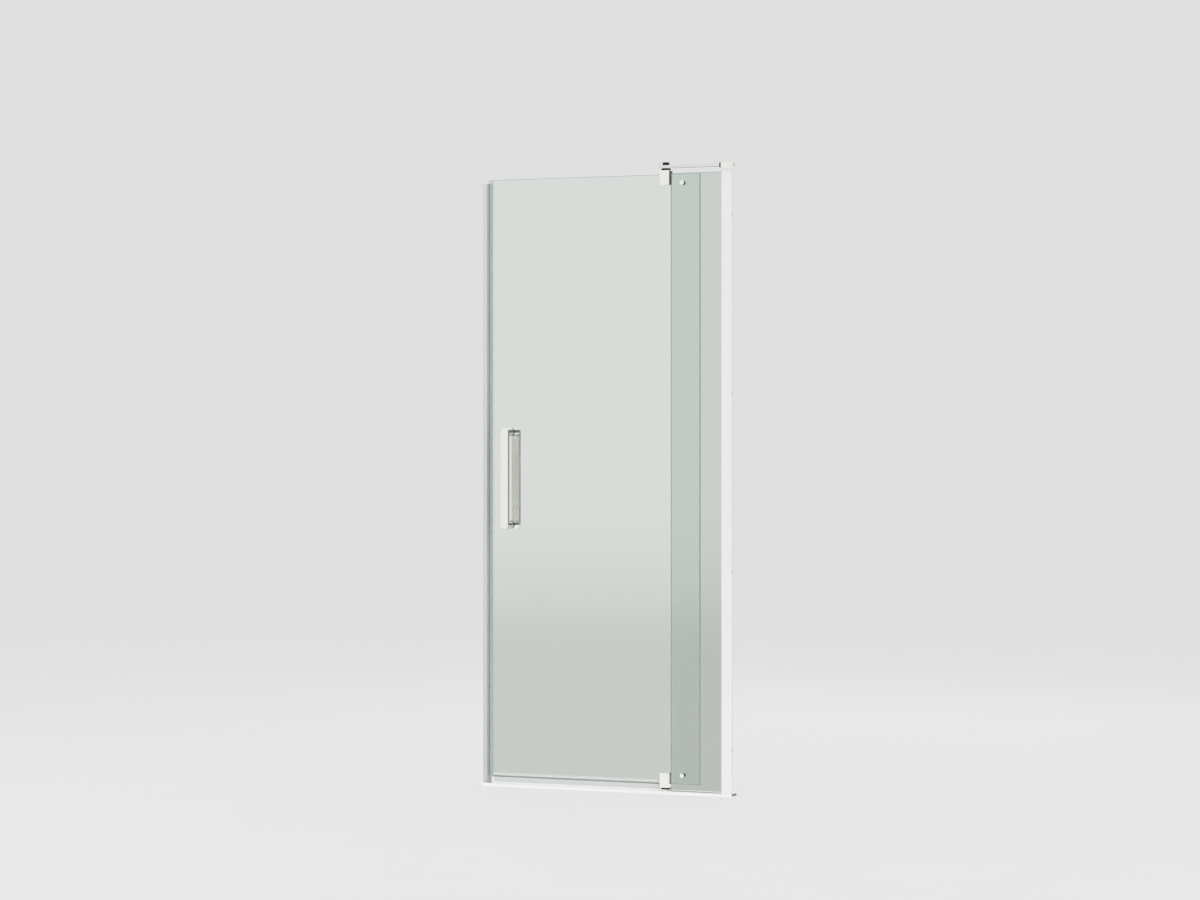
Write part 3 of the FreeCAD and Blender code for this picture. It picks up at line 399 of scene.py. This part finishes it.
def make_floor():
    """A round pale floor just below the threshold, with soft shadows, that fades into the backdrop.
    Through glass it shows mostly a level of painted shade.
    """
    mesh = bpy.data.meshes.new("floor")
    shape = bmesh.new()
    bmesh.ops.create_circle(shape, cap_ends=True, segments=FLOOR_SEGMENTS, radius=FLOOR_RADIUS)
    shape.to_mesh(mesh)
    shape.free()
    floor = bpy.data.objects.new("floor", mesh)
    scene.collection.objects.link(floor)
    floor.location.z = cad_box[0].z - FLOOR_BELOW
    material, tree, output = new_material("floor")
    where = object_place(tree)
    length = add(tree, "ShaderNodeVectorMath", operation="LENGTH")
    tree.links.new(where, length.inputs[0])
    fade = map_range(tree, length.outputs["Value"], *FLOOR_FADE, 0.0, 1.0, smooth=True)
    grain = spread(tree, noise(tree, where, FLOOR_CLOUDS, 2), *FLOOR_GRAIN)
    colour = add(tree, "ShaderNodeVectorMath", operation="SCALE")
    colour.inputs[0].default_value = FLOOR_COLOUR
    tree.links.new(grain, colour.inputs["Scale"])
    lit = principled(tree, Base_Color=colour.outputs[0], Roughness=0.9, Specular_IOR_Level=0.2)
    path = add(tree, "ShaderNodeLightPath").outputs
    evened = lit
    # Through glass the floor is mostly painted shade, at the behind-glass shade level.
    for ray, level, share in (
        ("Is Camera Ray", FLOOR_COLOUR, FLOOR_EVEN),
        ("Is Glossy Ray", FLOOR_MIRRORED, FLOOR_EVEN_UNSEEN),
        ("Is Transmission Ray", BEHIND_GLASS_PAINTED_SHADE, FLOOR_EVEN_UNSEEN),
    ):
        even = add(tree, "ShaderNodeEmission")
        even.inputs["Color"].default_value = (*level, 1)
        factor = math_node(tree, "MULTIPLY", path[ray], share)
        evened = mix_shader(tree, factor, evened, even.outputs[0])
    clear = add(tree, "ShaderNodeBsdfTransparent")
    tree.links.new(mix_shader(tree, fade, evened, clear.outputs[0]), output.inputs["Surface"])
    mesh.materials.append(material)


def make_lamps():
    for name, place, width, height, power in LAMPS:
        data = bpy.data.lights.new(name, "AREA")
        data.shape = "RECTANGLE"
        data.size, data.size_y = width, height
        data.energy = power
        lamp = bpy.data.objects.new(name, data)
        lamp.location = place
        lamp.rotation_euler = (Vector(AIM) - Vector(place)).to_track_quat("-Z", "Y").to_euler()
        lamp.visible_camera = False
        lamp.visible_glossy = False
        lamp.visible_transmission = False
        scene.collection.objects.link(lamp)


# Materials

def polished(name, base, roughness, lines, metallic=1.0):
    """Polished metal: faint cloudy roughness and very fine lines along the way it was drawn or buffed.
    The faces at the two ends, hidden once the door is fitted, are left dull."""
    material, tree, output = new_material(name)
    clouds = noise(tree, object_place(tree), METAL_CLOUDS)
    fine = noise(tree, object_place(tree, lines), METAL_LINES, 2)
    rough = spread(tree, clouds, *(roughness * share for share in METAL_ROUGHNESS))
    reach = math_node(tree, "ABSOLUTE", coordinate(tree, "Object", "X"))
    at_end = math_node(tree, "GREATER_THAN", reach, END_FACE)
    rough = map_range(tree, at_end, 0.0, 1.0, rough, END_FACE_ROUGHNESS)
    metal = map_range(tree, at_end, 0.0, 1.0, metallic, END_FACE_METALLIC)
    tone = spread(tree, clouds, 0.0, 1.0)
    colour = mix_colour(tree, tone, toned(base, METAL_DULLEST), base)
    normal = bump(tree, fine, *METAL_BUMP)
    shader = principled(tree, Base_Color=colour, Metallic=metal, Roughness=rough, Normal=normal)
    tree.links.new(shader, output.inputs["Surface"])
    return material


def moulded(name, base, roughness, grain=0.08, **more):
    """Moulded plastic or rubber with a faint grain."""
    material, tree, output = new_material(name)
    where = object_place(tree)
    fine = noise(tree, where, MOULD_GRAIN, 2)
    clouds = noise(tree, where, MOULD_CLOUDS, 2)
    tone = spread(tree, clouds, 0.0, 1.0)
    colour = mix_colour(tree, tone, *(toned(base, share) for share in MOULD_TONES))
    rough = spread(tree, clouds, *(roughness * share for share in MOULD_ROUGHNESS))
    normal = bump(tree, fine, grain, MOULD_DEPTH)
    shader = principled(tree, Base_Color=colour, Roughness=rough, Normal=normal, **more)
    tree.links.new(shader, output.inputs["Surface"])
    return material


def lets_lamps_through(tree, output, shader, tint):
    """Clear pieces: the lamps' and the backdrop's soft light pass straight through, tinted."""
    path = add(tree, "ShaderNodeLightPath").outputs
    soft = math_node(tree, "MAXIMUM", path["Is Shadow Ray"], path["Is Diffuse Ray"])
    clear = add(tree, "ShaderNodeBsdfTransparent")
    clear.inputs["Color"].default_value = (*tint, 1)
    tree.links.new(mix_shader(tree, soft, shader, clear.outputs[0]), output.inputs["Surface"])


def glass(name, tint):
    """Toughened glass: nearly clear through its faces, grey-green along its polished edges."""
    material, tree, output = new_material(name)
    facing = math_node(tree, "ABSOLUTE", coordinate(tree, "Normal", "Y"))
    edge = map_range(tree, facing, *GLASS_FACING, 1.0, 0.0)
    wave = noise(tree, object_place(tree, GLASS_STRETCH), GLASS_WAVES, 1)
    shader = principled(
        tree,
        Base_Color=mix_colour(tree, edge, tint, GLASS_EDGE),
        Roughness=map_range(tree, edge, 0.0, 1.0, 0.0, GLASS_EDGE_ROUGHNESS),
        Normal=bump(tree, wave, *GLASS_BUMP),
        IOR=1.5,
        Transmission_Weight=map_range(tree, edge, 0.0, 1.0, 1.0, GLASS_EDGE_CLARITY),
    )
    lets_lamps_through(tree, output, shader, GLASS_SHADE)
    return material


def clear_plastic(name, axis="Z", shade_from=0.0, shade_to=0.0, clarity=0.97):
    """Soft clear vinyl with faint streaks, and a darker band of painted shade between two places along
    an axis.
    """
    material, tree, output = new_material(name)
    streaks = noise(tree, object_place(tree, VINYL_STRETCH), VINYL_STREAKS, 2)
    place = coordinate(tree, "Object", axis)
    past = math_node(tree, "GREATER_THAN", place, shade_from)
    before = math_node(tree, "LESS_THAN", place, shade_to)
    # Painted shade: the band between the two places takes the darker colour.
    line = math_node(tree, "MULTIPLY", past, before)
    shader = principled(
        tree,
        Base_Color=mix_colour(tree, line, VINYL, VINYL_PAINTED_SHADE),
        Roughness=spread(tree, streaks, *VINYL_ROUGHNESS),
        Normal=bump(tree, streaks, *VINYL_BUMP),
        IOR=1.25,
        Transmission_Weight=clarity,
    )
    lets_lamps_through(tree, output, shader, VINYL_SHADE)
    return material


MATERIALS = {
    "polished_profile": polished("polished_profile", (0.93, 0.93, 0.925), 0.28, DRAWN),
    "polished_fitting": polished("polished_fitting", FITTING, 0.09, BUFFED),
    "steel_hardware": polished("steel_hardware", (0.62, 0.62, 0.61), 0.25, UNDRAWN),
    "black_plastic": moulded("black_plastic", (0.005, 0.005, 0.0055), 0.42, Specular_IOR_Level=0.25),
    "black_rubber": moulded("black_rubber", (0.007, 0.007, 0.007), 0.60, 0.15, Specular_IOR_Level=0.25),
    "white_nylon": moulded("white_nylon", (0.80, 0.80, 0.78), 0.45, Subsurface_Weight=0.2),
    # Partly painted shade: the glass's own green tint, made deeper than the glass alone gives, for the
    # shaded room behind the pane.
    "clear_glass": glass("pane_glass", (0.905, 0.955, 0.915)),
    "clear_seal": clear_plastic("clear_seal"),
}
strike_finish = polished("strike_profile", (0.68, 0.685, 0.685), 0.5, DRAWN, 0.2)
seal_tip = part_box("door_edge_seal")[0].x
pane_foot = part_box("door_glass")[0].z
FINISHES = {
    "fixed_panel": glass("panel_glass", (0.775, 0.82, 0.785)),
    "handle_outer_bar": polished("outer_bar", FITTING, 0.24, BUFFED),
    # Painted shade: the inner bar is a darker, warmer copy of the fitting metal, as it lies in shade
    # behind the glass.
    "handle_inner_bar": polished("inner_bar", (0.80, 0.73, 0.73), 0.30, BUFFED),
    "support_bar": polished("support_bar", (0.80, 0.79, 0.775), 0.12, BAR_BUFFED),
    # Painted highlight: the sill is a paler, less metallic copy of the profile metal, so its front face
    # reads brightly lit.
    "threshold_sill": polished("sill_painted_highlight", (0.985, 0.985, 0.98), 0.30, DRAWN, 0.75),
    "strike_jamb": strike_finish,
    "strike_jamb_cover": strike_finish,
    # Painted shade along the seal's tip, where it meets the strike jamb.
    "door_edge_seal": clear_plastic("edge_seal", "X", seal_tip, seal_tip + SEAL_TIP_PAINTED_SHADE),
    # Painted shade where the sweep grips the pane's foot.
    "door_sweep": clear_plastic("sweep", "Z", *(pane_foot + line for line in SWEEP_PAINTED_SHADE), clarity=0.65),
}


def finish_of(node):
    """The material of a CAD node: its slot's, or its own where it looks a little different."""
    return FINISHES.get(node, MATERIALS[slots[node]])


def dress_nodes():
    for name, piece in nodes.items():
        piece.data.materials.clear()
        piece.data.materials.append(finish_of(name))


# Shapes

def solid_boxes(node):
    """The box of each separate solid of a CAD node, sorted by height, then X, then Y."""
    shape = bmesh.new()
    shape.from_mesh(nodes[node].data)
    bmesh.ops.remove_doubles(shape, verts=shape.verts, dist=WELD)
    unseen = set(shape.verts)
    boxes = []
    while unseen:
        edge = [unseen.pop()]
        solid = []
        while edge:
            corner = edge.pop()
            solid.append(corner.co.copy())
            for link in corner.link_edges:
                other = link.other_vert(corner)
                if other in unseen:
                    unseen.remove(other)
                    edge.append(other)
        low = Vector(min(point[axis] for point in solid) for axis in range(3))
        high = Vector(max(point[axis] for point in solid) for axis in range(3))
        boxes.append((low, high))
    shape.free()
    return sorted(boxes, key=lambda found: [round(found[0][axis], 4) for axis in (2, 0, 1)])


def rounded(corners):
    """A closed outline whose corners, given as x, y and radius, are rounded by arcs."""
    outline = []
    count = len(corners)
    for index, (x, y, radius) in enumerate(corners):
        here = Vector((x, y))
        if radius <= 0:
            outline.append(here)
            continue
        before = (Vector(corners[index - 1][:2]) - here).normalized()
        after = (Vector(corners[(index + 1) % count][:2]) - here).normalized()
        half = before.angle(after) / 2
        centre = here + (before + after).normalized() * (radius / math.sin(half))
        start = here + before * (radius / math.tan(half)) - centre
        end = here + after * (radius / math.tan(half)) - centre
        sweep = start.angle_signed(end)
        for step in range(ARC_STEPS + 1):
            turn = Matrix.Rotation(-sweep * step / ARC_STEPS, 2)
            outline.append(centre + turn @ start)
    return outline


def extruded(outlines, length):
    """A solid of one section, an outer outline and any holes, in X and Y and as long as given along Z.
    It is filled at a thousand times its size, because the fill drops very short edges."""
    curve = bpy.data.curves.new("section", "CURVE")
    curve.dimensions = "2D"
    curve.fill_mode = "BOTH"
    curve.extrude = length / MM / 2
    for outline in outlines:
        spline = curve.splines.new("POLY")
        spline.points.add(len(outline) - 1)
        spline.use_cyclic_u = True
        for point, place in zip(spline.points, outline):
            point.co = (place[0] / MM, place[1] / MM, 0, 1)
    source = bpy.data.objects.new("section", curve)
    mesh = bpy.data.meshes.new_from_object(source)
    shape = bmesh.new()
    shape.from_mesh(mesh)
    bpy.data.objects.remove(source)
    bpy.data.curves.remove(curve)
    bpy.data.meshes.remove(mesh)
    bmesh.ops.scale(shape, vec=(MM, MM, MM), verts=shape.verts)
    bmesh.ops.translate(shape, vec=(0, 0, length / 2), verts=shape.verts)
    bmesh.ops.remove_doubles(shape, verts=shape.verts, dist=WELD)
    return shape


def turned(profile, closed=False, steps=TURN_STEPS):
    """A turned solid about Z. The profile is (radius, height, sides), with 0 sides for a round.
    It runs from axis to axis, or is closed on itself for a ring."""
    shape = bmesh.new()
    rings = []
    for radius, height, sides in profile:
        if radius == 0:
            rings.append([shape.verts.new((0, 0, height))] * steps)
            continue
        ring = []
        for step in range(steps):
            angle = 2 * math.pi * step / steps
            reach = radius
            if sides:
                sector = 2 * math.pi / sides
                reach = radius / math.cos((angle + sector / 2) % sector - sector / 2)
            ring.append(shape.verts.new((reach * math.cos(angle), reach * math.sin(angle), height)))
        rings.append(ring)
    pairs = list(zip(rings, rings[1:]))
    if closed:
        pairs.append((rings[-1], rings[0]))
    for one, other in pairs:
        for step in range(steps):
            following = (step + 1) % steps
            corners = (one[step], one[following], other[following], other[step])
            shape.faces.new(dict.fromkeys(corners))
    return shape


def moved(shape, place, along="Z"):
    """A shape built along Z, turned to run along another way and put at a place."""
    turn = Vector(WAYS["Z"]).rotation_difference(Vector(WAYS[along])).to_matrix().to_4x4()
    shape.transform(Matrix.Translation(place) @ turn)
    return shape


def laid_along_x(shape, x, z):
    """A shape built along Z from a section in Y and Z, laid along X from a place."""
    shape.transform(Matrix(((0, 0, 1, x), (1, 0, 0, 0), (0, 1, 0, z), (0, 0, 0, 1))))
    return shape


def joined(shapes):
    """Several shapes as one."""
    whole = bmesh.new()
    for shape in shapes:
        mesh = bpy.data.meshes.new("part")
        shape.to_mesh(mesh)
        shape.free()
        whole.from_mesh(mesh)
        bpy.data.meshes.remove(mesh)
    return whole


def stand_for(node, name, shape):
    """A finished mesh stands for one CAD node, on the same body and in the same slot."""
    bmesh.ops.recalc_face_normals(shape, faces=shape.faces)
    mesh = bpy.data.meshes.new(name)
    shape.to_mesh(mesh)
    shape.free()
    mesh.shade_smooth()
    mesh.set_sharp_from_angle(angle=SMOOTH_UNDER)
    mesh.materials.append(finish_of(node))
    piece = bpy.data.objects.new(name, mesh)
    scene.collection.objects.link(piece)
    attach(piece, nodes[node]["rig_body"])
    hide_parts(node)


# Clear seals

def make_edge_seal():
    """A channel gripping the pane's free edge, with a round hollow bulb towards the strike jamb."""
    low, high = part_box("door_edge_seal")
    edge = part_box("door_glass")[0].x
    outside = (high.y - low.y) / 2
    grip = outside - SEAL_WALL + SEAL_AIR
    tip = low.x - edge
    legs = high.x - edge
    section = rounded(
        [
            (tip, -BULB_RADIUS, BULB_RADIUS * BULB_ROUND),
            (-SEAL_WALL, -BULB_RADIUS, BULB_NECK),
            (-SEAL_WALL, -outside, BULB_SHOULDER),
            (legs, -outside, SEAL_CORNER),
            (legs, -grip - SEAL_LIP / 2, LIP_TIP),
            (legs - SEAL_LIP, -grip, LIP_ROOT),
            (-SEAL_AIR, -grip, 0),
            (-SEAL_AIR, grip, 0),
            (legs - SEAL_LIP, grip, LIP_ROOT),
            (legs, grip + SEAL_LIP / 2, LIP_TIP),
            (legs, outside, SEAL_CORNER),
            (-SEAL_WALL, outside, BULB_SHOULDER),
            (-SEAL_WALL, BULB_RADIUS, BULB_NECK),
            (tip, BULB_RADIUS, BULB_RADIUS * BULB_ROUND),
        ]
    )
    inner = BULB_RADIUS - BULB_WALL
    hollow = rounded(
        [
            (tip + BULB_WALL, -inner, inner * BULB_ROUND),
            (-2 * SEAL_WALL, -inner, inner * BULB_INNER_NECK),
            (-2 * SEAL_WALL, inner, inner * BULB_INNER_NECK),
            (tip + BULB_WALL, inner, inner * BULB_ROUND),
        ]
    )
    shape = extruded([section, hollow], high.z - low.z)
    stand_for("door_edge_seal", "clear_edge_seal", moved(shape, (edge, 0, low.z)))


def make_sweep():
    """A channel gripping the pane's foot, with a drip lip outside and a fin that curves inwards."""
    low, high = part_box("door_sweep")
    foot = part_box("door_glass")[0].z
    outside = -low.y
    grip = outside - SEAL_WALL + SEAL_AIR
    top = high.z - foot
    tip = low.z - foot
    spine = []
    for step in range(SWEEP_STEPS + 1):
        share = step / SWEEP_STEPS
        height = -SEAL_WALL + (tip + SEAL_WALL) * share
        spine.append((SWEEP_LEAN * share ** 2, height, FIN_ROOT + (FIN_TIP - FIN_ROOT) * share))
    section = rounded(
        [
            (-outside, top, SEAL_CORNER),
            (-outside, -SEAL_WALL, 0.3 * MM),
            (-outside + DRIP_INSET, -DRIP_DROP, DRIP_ROUND),
            (-outside + DRIP_END, -DRIP_DROP, DRIP_ROUND),
            (-outside + DRIP_ROOT, -SEAL_WALL, 0.4 * MM),
            *((y - half, z, 0) for y, z, half in spine),
            *((y + half, z, 0) for y, z, half in reversed(spine)),
            (outside, -SEAL_WALL, 0.6 * MM),
            (outside, top, SEAL_CORNER),
            (grip + SEAL_LIP / 2, top, LIP_TIP),
            (grip, top - SEAL_LIP, LIP_ROOT),
            (grip, -SEAL_AIR, 0),
            (-grip, -SEAL_AIR, 0),
            (-grip, top - SEAL_LIP, LIP_ROOT),
            (-grip - SEAL_LIP / 2, top, LIP_TIP),
        ]
    )
    shape = laid_along_x(extruded([section], high.x - low.x), low.x, foot)
    stand_for("door_sweep", "clear_bottom_sweep", shape)


def make_strike_stop():
    """A stop strip with a rounded nose and a hollow, which the edge seal closes against."""
    low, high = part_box("strike_stop")
    width, depth = high.x - low.x, high.y - low.y
    section = rounded(
        [
            (0, 0, 0),
            (width, 0, STRIP_FRONT_ROUND),
            (width, depth, depth * STRIP_NOSE),
            (0, depth, 0),
        ]
    )
    hollow = rounded(
        [
            (2 * STRIP_WALL, STRIP_WALL, STRIP_INNER_ROUND),
            (width - STRIP_WALL, STRIP_WALL, STRIP_INNER_ROUND),
            (width - STRIP_WALL, depth - STRIP_WALL, STRIP_FRONT_ROUND),
            (2 * STRIP_WALL, depth - STRIP_WALL, STRIP_INNER_ROUND),
        ]
    )
    shape = extruded([section, hollow], high.z - low.z)
    stand_for("strike_stop", "clear_strike_stop", moved(shape, (low.x, low.y, low.z)))


def make_panel_beads():
    """Glazing strips whose showing edge is a small round bead standing just proud of the metal."""
    beads = []
    for low, high in solid_boxes("panel_jamb_gaskets"):
        bead = (high.y - low.y) * BEAD_ROUND
        section = rounded(
            [
                (low.x - BEAD_PROUD, low.y, bead),
                (high.x, low.y, 0),
                (high.x, high.y, 0),
                (low.x - BEAD_PROUD, high.y, bead),
            ]
        )
        beads.append(moved(extruded([section], high.z - low.z), (0, 0, low.z)))
    stand_for("panel_jamb_gaskets", "panel_jamb_beads", joined(beads))
    beads = []
    for low, high in solid_boxes("panel_sill_gaskets"):
        bead = (high.y - low.y) * BEAD_ROUND
        section = rounded(
            [
                (low.y, low.z, 0),
                (high.y, low.z, 0),
                (high.y, high.z + BEAD_PROUD, bead),
                (low.y, high.z + BEAD_PROUD, bead),
            ]
        )
        beads.append(laid_along_x(extruded([section], high.x - low.x), low.x, 0))
    stand_for("panel_sill_gaskets", "panel_sill_beads", joined(beads))


# Screws, stops and washers

def countersunk_screw(head, length):
    """A countersunk screw with a hexagon socket, its head at Z = 0 and its point below."""
    socket = head * SCREW_SOCKET
    return turned(
        [
            (0, -SCREW_SOCKET_DEPTH - SCREW_DRILL_POINT, 0),
            (socket, -SCREW_SOCKET_DEPTH, HEXAGON),
            (socket, -SCREW_BEVEL, HEXAGON),
            (socket * SOCKET_LEAD, 0, 0),
            (head - SCREW_BEVEL, 0, 0),
            (head, -SCREW_BEVEL, 0),
            (SCREW_SHANK, -SCREW_CONE, 0),
            (SCREW_SHANK, -length + POINT, 0),
            (SCREW_SHANK * SCREW_TIP, -length, 0),
            (0, -length, 0),
        ]
    )


def grub_screw(radius, length):
    """A headless screw with a hexagon socket at Z = 0 and a cone point below."""
    socket = radius * GRUB_SOCKET
    return turned(
        [
            (0, -GRUB_DRILL_DEPTH * length, 0),
            (socket, -GRUB_SOCKET_DEPTH * length, HEXAGON),
            (socket, -GRUB_SOCKET_BEVEL, HEXAGON),
            (socket * SOCKET_LEAD, 0, 0),
            (radius - GRUB_BEVEL, 0, 0),
            (radius, -GRUB_BEVEL, 0),
            (radius, -length + POINT, 0),
            (radius * GRUB_TIP, -length, 0),
            (0, -length, 0),
        ]
    )


def make_screws():
    for side in ("top", "bottom"):
        node = f"{side}_hinge_screws"
        screws = []
        for low, high in solid_boxes(node):
            middle = (low + high) / 2
            screw = countersunk_screw((high.x - low.x) / 2, high.y - low.y)
            screws.append(moved(screw, (middle.x, high.y, middle.z), "Y"))
        stand_for(node, f"{side}_socket_screws", joined(screws))
    grub_names = {"bar_set_screw": "bar_socket_grub", "handle_set_screws": "handle_socket_grubs"}
    for node, name in grub_names.items():
        grubs = []
        for low, high in solid_boxes(node):
            middle = (low + high) / 2
            grub = grub_screw((high.x - low.x) / 2, high.z - low.z)
            grubs.append(moved(grub, (middle.x, middle.y, low.z), "-Z"))
        stand_for(node, name, joined(grubs))


def make_stops():
    """Soft stops with a rounded nose and a shallow groove, on their stems behind the fixed panel."""
    start, floor_start, floor_end, end = STOP_GROOVE
    stops = []
    for low, high in solid_boxes("door_bumpers"):
        middle = (low + high) / 2
        radius = (high.x - low.x) / 2
        depth = high.y - low.y
        nose = []
        for step in range(STOP_ROUND_STEPS + 1):
            angle = math.pi / 2 * (1 - step / STOP_ROUND_STEPS)
            in_from_side = STOP_ROUND * (1 - math.sin(angle))
            in_from_end = STOP_ROUND * (1 - math.cos(angle))
            nose.append((radius - in_from_side, depth - in_from_end, 0))
        stop = turned(
            [
                (0, STEM_BORE_DEPTH, 0),
                (STEM_BORE, STEM_BORE_DEPTH, 0),
                (STEM_BORE, 0, 0),
                (radius - STOP_EDGE, 0, 0),
                (radius, STOP_EDGE, 0),
                (radius, start, 0),
                (radius - STOP_GROOVE_DEPTH, floor_start, 0),
                (radius - STOP_GROOVE_DEPTH, floor_end, 0),
                (radius, end, 0),
                *nose,
                (0, depth, 0),
            ]
        )
        stops.append(moved(stop, (middle.x, low.y, middle.z), "Y"))
    stand_for("door_bumpers", "rounded_door_stops", joined(stops))


def make_thrust_washers():
    """Black washers with rounded rims and a groove, standing just clear of what turns on them."""
    for side in ("top", "bottom"):
        node = f"{side}_thrust_washer"
        low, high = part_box(node)
        middle = (low + high) / 2
        radius = (high.x - low.x) / 2
        thickness = high.z - low.z - 2 * WASHER_AIR
        cut = WASHER_RIM * WASHER_RIM_CUT
        washer = turned(
            [
                (PIN_BORE, 0, 0),
                (radius - WASHER_RIM, 0, 0),
                (radius - cut, cut, 0),
                (radius, WASHER_RIM, 0),
                (radius, thickness / 2 - WASHER_GROOVE, 0),
                (radius - WASHER_GROOVE, thickness / 2, 0),
                (radius, thickness / 2 + WASHER_GROOVE, 0),
                (radius, thickness - WASHER_RIM, 0),
                (radius - cut, thickness - cut, 0),
                (radius - WASHER_RIM, thickness, 0),
                (PIN_BORE, thickness, 0),
            ],
            closed=True,
            steps=WASHER_STEPS,
        )
        place = (middle.x, middle.y, low.z + WASHER_AIR)
        stand_for(node, f"{side}_grooved_washer", moved(washer, place))


make_camera()
make_world()
make_floor()
make_lamps()
dress_nodes()
make_edge_seal()
make_sweep()
make_strike_stop()
make_panel_beads()
make_screws()
make_stops()
make_thrust_washers()
